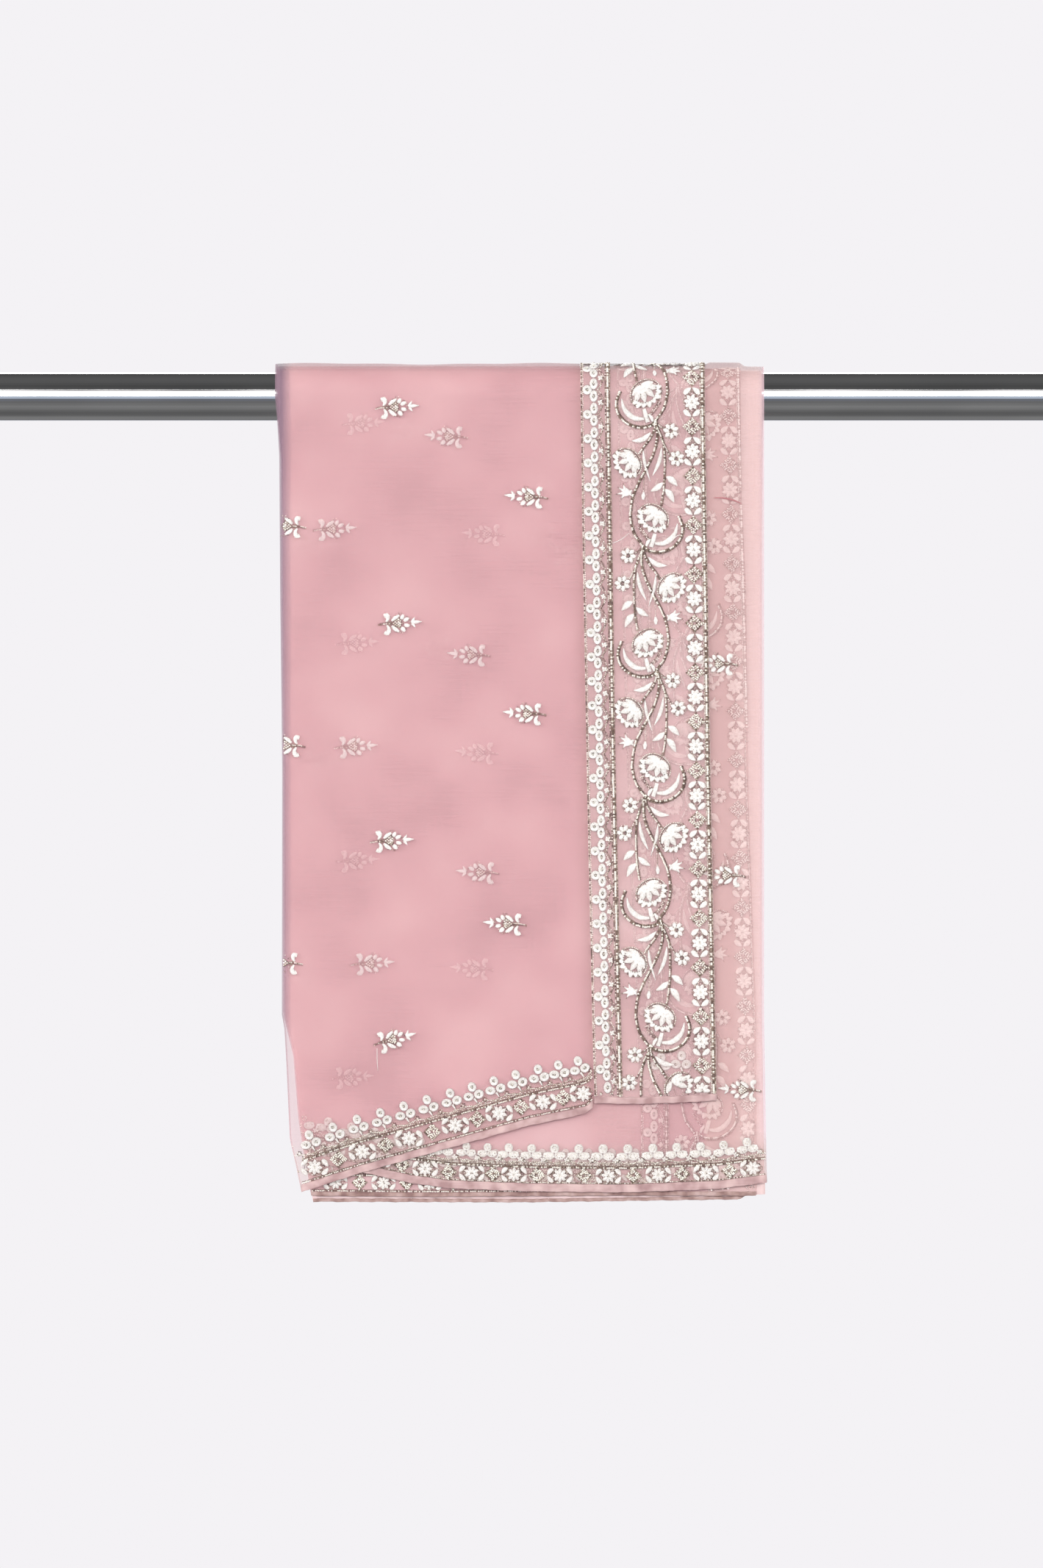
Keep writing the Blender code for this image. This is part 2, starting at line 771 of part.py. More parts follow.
def step_down(x, along):
    """The second layer sinks where the layer under it ends, more near the rod than below."""
    past = x - edge_at(OTHER_END, along)
    share = smooth((past - STEP_START) / (STEP_END - STEP_START))
    fade = 1.0 - smooth((drop_of(along) - STEP_FADE[0]) / (STEP_FADE[1] - STEP_FADE[0]))
    return -LAYER_STEP * share * fade


def make_hidden_layers(paints):
    """The other end of the cloth under the second layer, and the folds next to the rod."""
    third = fall_outline(shifted(LOWER_LEFT, THIRD_INSET), OTHER_END, THIRD_HEM, back_edge(THIRD_HEM))
    wall("third_stretch", third, THIRD_LAYER, paints["under"])
    left, right = shifted(LOWER_LEFT, FOLDS_INSET), shifted(LOWER_RIGHT, -FOLDS_INSET)
    folds = fall_outline(left, right, FOURTH_HEM, back_edge(FOURTH_HEM))
    wall("inner_folds", folds, FOLDS_LAYER, paints["field"])


def main():
    clear_scene()
    paints = {
        "field": material("organza", PINK, 0.7, 0.0),
        "hem": material("organza_hem", PINK, 0.65, 0.0),
        "under": material("organza_under", PALE_PINK, 0.7, 0.0),
        "band": material("embroidered_organza", GREY_PINK, 0.6, 0.0),
    }
    make_rod(material("polished_rod", ROD_GREY, 0.08, 1.0))
    make_top_field(paints)
    make_pallu(paints)
    make_second_layer(paints)
    make_hidden_layers(paints)


main()
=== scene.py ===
"""Looks of the dupatta stole on its rod: sheer layers of organza, needlework, hems and light.

Places on the cloth are in millimetres on the flat cloth: x across it and along, which is 0 over
the rod, positive down the front and negative down the back. Heights stand off a layer.
"""
import math

import bpy
import numpy as np
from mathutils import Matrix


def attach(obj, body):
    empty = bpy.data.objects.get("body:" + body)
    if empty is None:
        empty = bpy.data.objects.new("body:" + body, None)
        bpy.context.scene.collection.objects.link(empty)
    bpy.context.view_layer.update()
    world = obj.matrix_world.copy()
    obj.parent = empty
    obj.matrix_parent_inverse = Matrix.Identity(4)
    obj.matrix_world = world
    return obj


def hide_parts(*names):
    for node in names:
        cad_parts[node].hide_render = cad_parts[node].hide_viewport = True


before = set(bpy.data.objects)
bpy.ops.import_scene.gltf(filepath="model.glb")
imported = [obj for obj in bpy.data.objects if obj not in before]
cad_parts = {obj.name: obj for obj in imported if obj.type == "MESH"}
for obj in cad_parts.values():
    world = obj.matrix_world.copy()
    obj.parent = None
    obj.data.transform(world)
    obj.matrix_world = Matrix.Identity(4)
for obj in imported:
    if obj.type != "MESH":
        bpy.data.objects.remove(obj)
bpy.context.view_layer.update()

MM = 0.001
TURN = 2 * math.pi

# The drape, as in the model: radii of the layers' outer sides about the rod's axis
DRAPE_RADIUS = 19.0
QUARTER = DRAPE_RADIUS * math.pi / 2
FOLDS, THIRD, SECOND, TOP = 16.0, 17.3, 18.7, 20.2
LAYER_STEP = 1.3
STEP_START, STEP_END = 0.6, 3.4
STEP_FADE = (60.0, 200.0)
WAVE_DEPTH = 1.1
WAVE_PITCH = 200.0
WAVE_DROP = 260.0

# Edges that run down the cloth. Columns: drop below the rod's axis, x
TOP_LEFT = [(0, -150.9), (14.4, -149.6), (36.5, -148.3), (117.5, -147.8), (230, -146.5),
            (378.5, -146.7), (387.5, -145.1), (410.9, -143.8), (455, -141.8), (469.4, -138.4),
            (487, -134.8)]
LOWER_LEFT = [(0, -150), (36.5, -147.6), (117.5, -147.2), (230, -145.9), (378.5, -145.9),
              (403.7, -139.7), (442.4, -136.6), (493.2, -128.9)]
LOWER_RIGHT = [(0, 148.5), (380, 148.5), (470, 150), (482, 150.4)]
OTHER_END = [(0, 134), (63, 134.8), (117.5, 137.5), (250, 139), (374, 143.5), (490, 144)]
PALLU_LEFT = [(0, 35.8), (92.7, 37.1), (250, 40), (400, 43.4), (433, 44.5)]
PALLU_MIDDLE = [(0, 52.6), (230, 56), (433, 60.4)]
PALLU_STARS = [(0, 104.2), (230, 107.2), (433, 110.8)]
PALLU_RIGHT = [(0, 112.6), (230, 116), (342, 118.2), (433, 119.9)]
VINE_MIDDLE = [(0, 78.0), (230, 79.6), (433, 83.6)]
BACK_LEFT = [(0, -150.4), (36, -147.4), (100, -145.6), (372, -145.2), (403, -139.0), (442, -135.8)]
BACK_RIGHT = [(0, 148.3), (120, 147.2), (440, 146.8)]

# Edges that run across the front. Columns: x, drop below the rod's axis
TOP_HEM = [(-134.8, 487.4), (-99.2, 475.8), (-53.8, 463), (4.7, 446.6), (39.4, 439.4), (44.4, 434.6)]
SECOND_HEM = [(-128, 468.5), (-99.2, 474.8), (-69.5, 481.5), (-43.9, 485.1), (4.7, 486.9),
              (62.8, 487.6), (120, 485.4), (150.6, 481.5)]
PALLU_HEM = [(30, 432.6), (70, 433.4), (100, 432.4), (130, 430.6)]
THIRD_HEM = [(-150, 489.4), (-60, 490.2), (60, 489.4), (150, 489.6)]
FOURTH_HEM = [(-150, 493.2), (0, 493.6), (134, 491.8), (137, 489.8), (150, 489.2)]
FALLS_TOGETHER = 907.0


def read(table, value):
    """The second column of a table at values of the first."""
    rows = np.array(table, float)
    return np.interp(value, rows[:, 0], rows[:, 1])


def drop_of(along):
    return np.maximum(0.0, np.abs(along) - QUARTER)


def edge_at(table, along, back=None):
    """X of an edge at places along the cloth; behind, of its own table where there is one."""
    drop = drop_of(along)
    return np.where(along < 0, read(back or table, drop), read(table, drop))


def back_of(table):
    return [(x, FALLS_TOGETHER - drop) for x, drop in table]


def raised(table, rise):
    return [(x, drop - rise) for x, drop in table]


def shifted(table, shift):
    return [(drop, x + shift) for drop, x in table]


def smooth(share):
    share = np.clip(share, 0.0, 1.0)
    return share * share * (3.0 - 2.0 * share)


def turns(count):
    """Equal steps round a circle."""
    return np.linspace(0, TURN, count, endpoint=False)


def oval(across, down, angles):
    return np.stack([across * np.cos(angles), down * np.sin(angles)], axis=1)


def toward(angle):
    return np.array([math.cos(angle), math.sin(angle)])


# Soft troughs and ridges that all layers share. Columns: x, drop, x, drop, width, height;
# they lie on the front and, a little moved, on the back
CREASES = [
    (-120, 70, -20, 120, 16, 0.55),
    (-130, 190, -60, 300, 18, -0.5),
    (-60, 240, 30, 330, 22, 0.6),
    (-140, 380, -20, 350, 14, 0.5),
    (-110, 420, 20, 395, 12, -0.5),
    (-20, 60, 30, 200, 18, -0.45),
    (122, 20, 126, 140, 7, 0.6),
    (120, 170, 146, 120, 8, -0.5),
    (122, 260, 132, 420, 8, 0.55),
    (60, 140, 100, 210, 10, 0.4),
    (55, 330, 105, 300, 10, -0.45),
    (-148, 40, -143, 330, 7, -0.5),
    (117, 68, 136, 60, 3.5, 0.7),
    (120, 74, 137, 68, 3.5, -0.6),
]


def creases(x, along):
    """How far the soft creases push every layer out."""
    drop = drop_of(along)
    behind = along < 0
    push = np.zeros_like(x)
    for ax, ad, bx, bd, width, height in CREASES:
        here = x + np.where(behind, 14.0, 0.0)
        dx, dd = bx - ax, bd - ad
        share = ((here - ax) * dx + (drop - ad) * dd) / (dx * dx + dd * dd)
        held = np.clip(share, 0.0, 1.0)
        away = np.hypot(here - ax - held * dx, drop - ad - held * dd)
        push += height * np.exp(-(away / width) ** 2)
    return push * smooth(drop / 40.0)


def ripple(x, along, seed):
    """Small unevenness of one layer."""
    rng = np.random.default_rng(seed)
    total = np.zeros_like(x)
    for _ in range(7):
        across, down = rng.uniform(-0.11, 0.11), rng.uniform(-0.07, 0.07)
        total += np.sin(x * across + along * down + rng.uniform(0, TURN))
    return total / 7


def step_down(x, along):
    """The second layer sinks where the layer under it ends, more near the rod than below."""
    past = x - edge_at(OTHER_END, along)
    share = smooth((past - STEP_START) / (STEP_END - STEP_START))
    fade = 1.0 - smooth((drop_of(along) - STEP_FADE[0]) / (STEP_FADE[1] - STEP_FADE[0]))
    return -LAYER_STEP * share * fade


def lift_of(layer, x, along):
    """How far a layer stands off its own radius."""
    if layer == "top":
        over = np.exp(-(drop_of(along) / 8.0) ** 2)
        crest = 0.35 * np.sin(x * 0.047 + 1.0) + 0.2 * np.sin(x * 0.13)
        return 0.22 * ripple(x, along, 1) + over * crest
    if layer == "second":
        over = np.exp(-(drop_of(along) / 10.0) ** 2)
        lift = 2.3 * smooth((x - 110.5) / 4.0) - 1.2 * smooth((x - 133.5) / 3.0)
        return 0.16 * ripple(x, along, 2) + step_down(x, along) + over * lift
    if layer == "third":
        return 0.12 * ripple(x, along, 3)
    return 0.1 * ripple(x, along, 4)


RADII = {"top": TOP, "second": SECOND, "third": THIRD, "folds": FOLDS}


def place(layer, x, along, height):
    """Points of a layer in metres, from places on the flat cloth."""
    x, along = np.asarray(x, float), np.asarray(along, float)
    side = np.where(along > 0, 1.0, -1.0)
    drop = drop_of(along)
    sway = smooth(drop / WAVE_DROP) * WAVE_DEPTH * np.sin(TURN * x / WAVE_PITCH + 0.9 * side)
    radius = RADII[layer] + lift_of(layer, x, along) + height
    angle = along / DRAPE_RADIUS
    falls = -side * (radius + sway + creases(x, along))
    y = np.where(drop > 0, falls, -radius * np.sin(angle))
    z = np.where(drop > 0, -drop, radius * np.cos(angle))
    return np.stack([x, y, z], axis=-1) * MM


class Sheet:
    """Collects faces on the flat cloth, and lays them on a layer as one mesh."""

    def __init__(self, layer, keep=None):
        self.layer = layer
        self.keep = keep
        self.points = []
        self.stitches = []
        self.faces = []
        self.count = 0

    def add(self, points, faces, stitches):
        points = np.asarray(points, float)
        if self.keep is not None and not self.keep(points[:, 0], points[:, 1]).all():
            return
        self.points.append(points)
        self.stitches.append(np.asarray(stitches, float))
        self.faces += [np.asarray(group, int) + self.count for group in faces]
        self.count += len(points)

    def build(self, name, material):
        flat = np.concatenate(self.points)
        stitches = np.concatenate(self.stitches)
        places = place(self.layer, flat[:, 0], flat[:, 1], flat[:, 2])
        return mesh_object(name, places, self.faces, material, flat, stitches)


def mesh_object(name, places, groups, material, flat, stitches):
    loops = np.concatenate([group.ravel() for group in groups])
    totals = np.concatenate([np.full(len(group), group.shape[1]) for group in groups])
    starts = np.concatenate([[0], np.cumsum(totals)[:-1]])
    mesh = bpy.data.meshes.new(name)
    mesh.vertices.add(len(places))
    mesh.vertices.foreach_set("co", places.ravel())
    mesh.loops.add(len(loops))
    mesh.loops.foreach_set("vertex_index", loops)
    mesh.polygons.add(len(totals))
    mesh.polygons.foreach_set("loop_start", starts)
    mesh.polygons.foreach_set("loop_total", totals)
    mesh.polygons.foreach_set("use_smooth", np.ones(len(totals), bool))
    for title, values in (("flat", flat), ("stitch", stitches)):
        attribute = mesh.attributes.new(title, "FLOAT_VECTOR", "POINT")
        attribute.data.foreach_set("vector", np.ascontiguousarray(values).ravel())
    mesh.update(calc_edges=True)
    mesh.validate()
    mesh.materials.append(material)
    made = bpy.data.objects.new(name, mesh)
    bpy.context.scene.collection.objects.link(made)
    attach(made, "root")
    return made


def grid_faces(rows, columns):
    spot = np.arange((rows - 1) * columns).reshape(-1, columns)[:, :-1].ravel()
    return np.stack([spot, spot + columns, spot + columns + 1, spot + 1], axis=1)


def tube_faces(rings, sides, closed=False):
    """Faces between rings of points; where the tube is closed, its last ring joins the first."""
    spot = np.arange((rings if closed else rings - 1) * sides).reshape(-1, sides)
    beside = np.roll(spot, -1, axis=1)
    quads = np.stack([spot, beside, beside + sides, spot + sides], axis=-1).reshape(-1, 4)
    return quads % (rings * sides)


ROW_PITCH = 4.0
ARC_PITCH = 2.2
COLUMN_PITCH = 3.0
CURL = [(0.9, -0.62), (0.25, -0.46), (-0.02, -0.2)]


def cloth(name, layer, edges, ends, material, curls=(True, True)):
    """A thin shell between two edges and two ends, its side edges turned under."""
    (left, back_left), (right, back_right) = edges
    front, back = ends
    reach = QUARTER + 8
    down = np.linspace(0.0, 1.0, int((470 - 8) / ROW_PITCH) + 1)
    over = np.linspace(-reach, reach, int(2 * reach / ARC_PITCH) + 1)
    width = float(read(right, 0) - read(left, 0))
    shares = np.linspace(0.0, 1.0, int(width / COLUMN_PITCH) + 1)
    rows = len(down) * 2 - 2 + len(over)
    x = np.repeat((read(left, 0) + shares * width)[None, :], rows, axis=0)
    middle = np.repeat(over[:, None], len(shares), axis=1)
    for _ in range(6):
        low, high = -QUARTER - read(back, x[0]), QUARTER + read(front, x[-1])
        lower = low[None, :] + (-reach - low[None, :]) * down[:-1, None]
        upper = reach + (high[None, :] - reach) * down[1:, None]
        along = np.concatenate([lower, middle, upper])
        first = edge_at(left, along, back_left)
        x = first + (edge_at(right, along, back_right) - first) * shares[None, :]
    height = np.zeros_like(x)
    for turned, end, step in zip(curls, (0, -1), (1, -1)):
        if turned:
            bend = np.array(CURL[::step])
            flat = np.ones((1, len(bend)))
            extra = (x[:, end, None] + step * bend[:, 0], along[:, end, None] * flat,
                     bend[None, :, 1].repeat(rows, axis=0))
            pairs = zip(extra, (x, along, height))
            x, along, height = [np.concatenate(pair[::step], axis=1) for pair in pairs]
    rise = np.where(along > 0, read(front, x), read(back, x)) - drop_of(along)
    # Distance to the right edge; the top field uses it for painted shadow beside the worked end.
    gap = edge_at(right, along, back_right) - x
    points, rises = [np.stack([part.ravel() for part in parts], axis=1)
                     for parts in ((x, along, height), (rise, gap, height))]
    sheet = Sheet(layer)
    sheet.add(points, [grid_faces(*x.shape)], rises)
    return sheet.build(name, material)


HEM_LOOP = [(0.0, 0.02), (0.06, 0.3), (0.3, 0.4), (0.6, 0.38), (0.88, 0.42), (0.98, 0.28),
            (1.0, 0.0), (0.97, -0.22), (0.6, -0.3), (0.1, -0.22)]


def hem(name, layer, line, height, span, side, material, seed):
    """A strip folded double along an end, a little puckered by its stitching."""
    count = int((span[1] - span[0]) / 2.4) + 1
    x = np.linspace(*span, count)
    fine, wide = np.random.default_rng(seed).uniform(0, TURN, 2)
    pucker = 0.16 * np.sin(x * 0.9 + fine) + 0.2 * np.sin(x * 0.37 + wide)
    points = []
    for share, stand in HEM_LOOP:
        drop = read(line, x) - height * (1 - share) + 0.7 * pucker
        points.append(np.stack([x, side * (QUARTER + drop), stand + pucker * (stand > 0.25)], axis=1))
    flat = np.stack(points, axis=1).reshape(-1, 3)
    sides = np.arange(len(HEM_LOOP))
    caps = np.array([sides[::-1], sides + (count - 1) * len(sides)])
    sheet = Sheet(layer)
    sheet.add(flat, [tube_faces(count, len(sides)), caps], flat)
    return sheet.build(name, material)


# Needlework, each piece on the flat cloth

BEAD = np.array([(1, 0, 0.4), (0, 1, 0.4), (-1, 0, 0.4), (0, -1, 0.4), (0, 0, 1.0)])
BEAD_TOP = np.array([(0, 1, 4), (1, 2, 4), (2, 3, 4), (3, 0, 4)])
BEAD_BASE = np.array([(3, 2, 1, 0)])


def curve(points, pitch):
    """Points at equal steps on a smooth curve through the given ones."""
    points = np.asarray(points, float)
    if len(points) > 2:
        padded = np.concatenate([[2 * points[0] - points[1]], points, [2 * points[-1] - points[-2]]])
        parts = []
        for k in range(1, len(padded) - 2):
            a, b, c, d = padded[k - 1:k + 3]
            t = np.linspace(0, 1, 9)[:-1, None]
            parts.append(0.5 * (2 * b + (c - a) * t + (2 * a - 5 * b + 4 * c - d) * t ** 2
                                + (3 * b - a - 3 * c + d) * t ** 3))
        points = np.concatenate(parts + [points[-1:]])
    run = np.concatenate([[0], np.cumsum(np.hypot(*np.diff(points, axis=0).T))])
    at = np.linspace(0, run[-1], max(2, int(round(run[-1] / pitch)) + 1))
    return np.stack([np.interp(at, run, points[:, k]) for k in (0, 1)], axis=1)


def ways_of(line):
    ahead = np.gradient(line, axis=0)
    length = np.maximum(1e-6, np.hypot(ahead[:, 0], ahead[:, 1]))
    return ahead / length[:, None]


def beads(sheet, centres, size, tones, ways=None, long=1.0, height=0.0):
    """Small rounded beads or knots of metal thread; tone 0 is dark and 1 pale."""
    centres = np.asarray(centres, float).reshape(-1, 2)
    if ways is None:
        ways = np.tile([1.0, 0.0], (len(centres), 1))
    if sheet.keep is not None:
        inside = sheet.keep(centres[:, 0], centres[:, 1])
        centres, ways = centres[inside], ways[inside]
        tones = np.broadcast_to(tones, inside.shape)[inside]
    if not len(centres):
        return
    count = len(centres)
    tones = np.broadcast_to(tones, (count,))
    u, v = BEAD[:, 0] * size * long, BEAD[:, 1] * size
    x = centres[:, :1] + ways[:, :1] * u - ways[:, 1:] * v
    a = centres[:, 1:] + ways[:, 1:] * u + ways[:, :1] * v
    h = np.broadcast_to(height + BEAD[:, 2] * size * 1.5, x.shape)
    points = np.stack([x, a, h], axis=-1).reshape(-1, 3)
    firsts = np.arange(count)[:, None, None] * len(BEAD)
    faces = [(firsts + side[None]).reshape(-1, side.shape[1]) for side in (BEAD_TOP, BEAD_BASE)]
    stitches = np.zeros((len(points), 3))
    stitches[:, 2] = np.repeat(tones, len(BEAD))
    held, sheet.keep = sheet.keep, None
    sheet.add(points, faces, stitches)
    sheet.keep = held


RNG = np.random.default_rng(11)


def chain(sheet, points, pitch=0.95, size=0.5, tone=0.55, spread=0.45, offset=0.0, height=0.0):
    """A row of beads along a curve, moved sideways by an offset."""
    line = curve(points, pitch)
    ways = ways_of(line)
    line = line + offset * np.stack([-ways[:, 1], ways[:, 0]], axis=1)
    line = line + RNG.normal(0, 0.06, line.shape)
    tones = np.clip(tone + RNG.uniform(-spread, spread, len(line)), 0, 1)
    beads(sheet, line, size, tones, ways, 1.05, height)


def cord(sheet, points, bold=1.0, dark=0.3):
    """A stem or border of metal cord: pale knots with darker ones among them, and beside them a strand of
    dark knots, partly the cord's own darker strand and partly painted shadow along its side.
    """
    line = curve(points, 0.98)
    ways = ways_of(line)
    side = np.stack([-ways[:, 1], ways[:, 0]], axis=1)
    tones = np.where(RNG.random(len(line)) < 0.36, 0.36, 0.9) + RNG.uniform(-0.15, 0.15, len(line))
    jitter = RNG.normal(0, 0.07, line.shape)
    beads(sheet, line + 0.26 * bold * side + jitter, 0.7 * bold, tones, ways, 0.9)
    # Dark strand beside the pale knots: partly the cord's darker strand, partly painted shadow.
    chain(sheet, points, 0.95, 0.46 * bold, dark, 0.22, -0.62 * bold)


def ribbon(sheet, points, widths, height=0.7, steps=8):
    """A leaf or petal of satin stitch along a curved axis."""
    fine = curve(points, 0.2)
    index = np.linspace(0, len(fine) - 1, steps + 1)
    line = np.stack([np.interp(index, np.arange(len(fine)), fine[:, k]) for k in (0, 1)], axis=1)
    ways = ways_of(line)
    share = np.linspace(0, 1, steps + 1)
    half = np.interp(share, np.linspace(0, 1, len(widths)), widths) / 2
    across = np.array([-1.0, -0.55, 0.0, 0.55, 1.0])
    x = line[:, :1] - ways[:, 1:] * half[:, None] * across
    a = line[:, 1:] + ways[:, :1] * half[:, None] * across
    crown = np.sqrt(1 - across ** 2)
    ends = np.clip(np.sin(math.pi * np.clip(share, 0.06, 0.94)) * 2.2, 0, 1)
    h = height * ends[:, None] * crown
    length = np.cumsum(np.concatenate([[0], np.hypot(*np.diff(line, axis=0).T)]))
    u = np.repeat(length[:, None], 5, axis=1)
    v = half[:, None] * across
    # tone here is the share of painted shade, rising from the leaf's middle to its rim.
    tone = np.abs(np.broadcast_to(across, u.shape))
    points = np.stack([x, a, h], axis=-1).reshape(-1, 3)
    stitches = np.stack([u, v, tone], axis=-1).reshape(-1, 3)
    rim = [k * 5 for k in range(steps + 1)] + [steps * 5 + k for k in range(1, 4)]
    rim += [k * 5 + 4 for k in range(steps, -1, -1)] + [3, 2, 1]
    sheet.add(points, [grid_faces(steps + 1, 5), np.array([rim])], stitches)


def moved(points, centre, turn=0.0, flip=1.0, size=1.0):
    """Local points turned, mirrored and moved to their place."""
    points = np.asarray(points, float) * size
    cos, sin = math.cos(turn), math.sin(turn)
    x = points[:, 0] * cos - points[:, 1] * sin
    y = points[:, 0] * sin + points[:, 1] * cos
    return np.stack([centre[0] + flip * x, centre[1] + y], axis=1)


RING_STEPS = 12


def ring(sheet, centre, across, down, turn, thick):
    """A closed ring of thick white thread."""
    around = turns(RING_STEPS)
    line = moved(oval(across, down, around), centre, turn)
    out = line - np.asarray(centre)
    out = out / np.hypot(*out.T)[:, None]
    shifts = thick * np.array([-1.0, -0.6, 0.6, 1.0])
    rings = line[:, None] + out[:, None] * shifts[:, None]
    stands = np.tile([0.1, 0.5, 0.55, 0.05], RING_STEPS)
    points = np.column_stack([rings.reshape(-1, 2), stands])
    shifts = np.tile(shifts, RING_STEPS)
    lengths = np.repeat(around * (across + down) / 2, 4)
    # The third value is the share of painted shade towards the ring's sides.
    stitches = np.stack([lengths, shifts, np.abs(shifts) / thick * 0.84], axis=1)
    sheet.add(points, [tube_faces(RING_STEPS, 4, True)], stitches)


def filled_ring(work, centre, across, down, turn, thick):
    """A ring with small knots of white and metal thread in its hole."""
    ring(work.white, centre, across, down, turn, thick)
    knots = moved(oval(0.6, 0.75, turns(5) + RNG.uniform()), centre, turn)
    beads(work.metal, knots, 0.4, RNG.uniform(0.2, 1.0, 5), height=0.35)
    beads(work.metal, [centre], 0.5, 1.0, height=0.4)


class Work:
    """White thread and metal thread of one layer, kept inside its edges."""

    def __init__(self, layer, keep, lift=1.0, inside=False):
        self.white = Sheet(layer, keep)
        self.metal = Sheet(layer, keep)
        self.lift = lift
        self.inside = inside

    def finish(self, name):
        made = []
        # Work lying under other sheer layers takes copies of the thread colours with the shade and pink
        # cast of those layers painted in.
        satin, zari = (INSIDE_SATIN_SHADED, INSIDE_ZARI_SHADED) if self.inside else (SATIN, ZARI)
        for sheet, kind, material in ((self.white, "white", satin), (self.metal, "metal", zari)):
            if sheet.count:
                for group in sheet.points:
                    group[:, 2] *= self.lift
                made.append(sheet.build(name + "_" + kind, material))
        return made


def petals(work, centre, count, radius, length, width, start=0.0, height=0.7):
    for k in range(count):
        way = toward(start + TURN * k / count)
        middle = np.asarray(centre) + way * radius + RNG.normal(0, 0.08, 2)
        ends = [middle - way * length / 2, middle + way * length / 2]
        ribbon(work.white, ends, (width * 0.45, width, width * 0.9, width * 0.3), height, 4)


def small_flower(work, centre, size=4.5):
    """A round flower of seven petals about knots of metal thread."""
    start = RNG.uniform(0, 1)
    petals(work, centre, 7, size * 0.64, size * 0.82, size * 0.7, start, 1.0)
    spokes = start + TURN * (np.arange(7) + 0.5) / 7
    for reach, size_of, tone in ((0.56, 0.44, 0.35), (0.95, 0.4, 0.3), (0.26, 0.5, 0.25)):
        spots = moved(oval(size * reach, size * reach, spokes), centre)
        beads(work.metal, spots, size_of, tone + RNG.uniform(-0.2, 0.5, 7), height=0.5)
    outline = moved(oval(size * 1.06, size * 1.06, turns(16)), centre)
    beads(work.metal, outline, 0.38, RNG.uniform(0.3, 1, 16))


# Petals of a blossom's heart: direction in degrees, reach, width. Teeth of its mouth: direction, reach
BLOSSOM_HEART = [(-68, 0.74, 0.44), (-42, 1.08, 0.46), (-14, 1.2, 0.46), (14, 1.22, 0.46),
                 (42, 1.08, 0.46), (68, 0.74, 0.44)]
BLOSSOM_TEETH = [(-80, 1.0), (-57, 0.97), (-34, 1.08), (-11, 1.0), (12, 1.08), (35, 0.99),
                 (58, 1.06), (80, 0.97)]
# Rows of knots round its base: share of its size, pitch, size, tone, spread
BLOSSOM_ROWS = [(1.0, 1.1, 0.52, 0.8, 0.3), (0.92, 1.2, 0.4, 0.12, 0.2), (0.82, 1.3, 0.42, 0.8, 0.3)]


def blossom(work, centre, turn, size, flip):
    """A half open blossom: dotted base, a fan of satin petals and a toothed mouth towards its turn."""
    def put(points):
        return moved(np.asarray(points) * (0.88, 1.14), centre, turn, flip, size)

    base = oval(1.0, 0.94, np.linspace(1.2, TURN - 1.2, 11))
    for share, *row in BLOSSOM_ROWS:
        chain(work.metal, put(base * share), *row)
    for degrees, reach in BLOSSOM_TEETH:
        way = toward(math.radians(degrees))
        ribbon(work.white, put([way * 0.66, way * (0.3 + 0.5 * reach), way * (reach + 0.03)]),
               [w * size for w in (0.44, 0.42, 0.3, 0.08)], 0.7, 4)
        outer = toward(math.radians(degrees + 11.5))
        beads(work.metal, put([outer * 0.93, outer]), 0.42, RNG.uniform(0.0, 0.6, 2), height=0.3)
    rim = np.radians(np.linspace(-84, 84, 13))
    beads(work.metal, put(oval(0.68, 0.68, rim)), 0.42, RNG.uniform(0.0, 0.7, 13), height=0.7)
    root = np.array([-0.7, 0.0])
    for degrees, reach, width in BLOSSOM_HEART:
        way = toward(math.radians(degrees))
        axis = [root + way * share for share in (0.02, reach * 0.6, reach * 1.08)]
        ribbon(work.white, put(axis), [w * width * size for w in (0.3, 0.85, 0.95, 0.2)], 1.0, 6)
    for degrees in (-27, 0, 27):
        way = toward(math.radians(degrees))
        beads(work.metal, put([root + share * way for share in (0.66, 0.84, 1.0)]), 0.34,
              RNG.uniform(0.1, 0.7, 3), height=0.9)


def star(work, centre, size=4.3, down=True):
    """A round star of satin between four leaves, ringed with metal knots."""
    start = RNG.uniform(0, 0.4)
    petals(work, centre, 8, size * 0.56, size * 1.08, size * 0.74, start, 1.0)
    beads(work.metal, moved([(0.0, -0.6), (0.55, 0.4), (-0.55, 0.4)], centre), 0.42,
          RNG.uniform(0.3, 1, 3), height=0.7)
    gaps = start + TURN * (np.arange(8) + 0.5) / 8
    for share in (0.6, 0.98):
        spots = moved(oval(size * share, size * share, gaps), centre)
        beads(work.metal, spots, 0.4, RNG.uniform(0, 0.6, 8), height=0.4)
    outline = moved(oval(size * 1.16, size * 1.16, turns(20)), centre)
    beads(work.metal, outline, 0.42, RNG.uniform(0.1, 1, 20))
    widths = [0.5, size * 0.66, size * 0.82, size * 0.46]
    for sx in (-1, 1):
        for sy in (-1, 1):
            axis = [(0.1 * sx, 2.0 * sy), (0.66 * sx, 1.6 * sy), (1.1 * sx, 1.12 * sy)]
            inner = [(0.12 * sx, 1.5 * sy), (0.5 * sx, 1.16 * sy), (0.86 * sx, 0.9 * sy)]
            if not down:
                axis, inner = [(y, x) for x, y in axis], [(y, x) for x, y in inner]
            ribbon(work.white, moved(axis, centre, 0, 1, size), widths, 0.8, 5)
            chain(work.metal, moved(inner, centre, 0, 1, size), 1.0, 0.4, 0.35, 0.4)


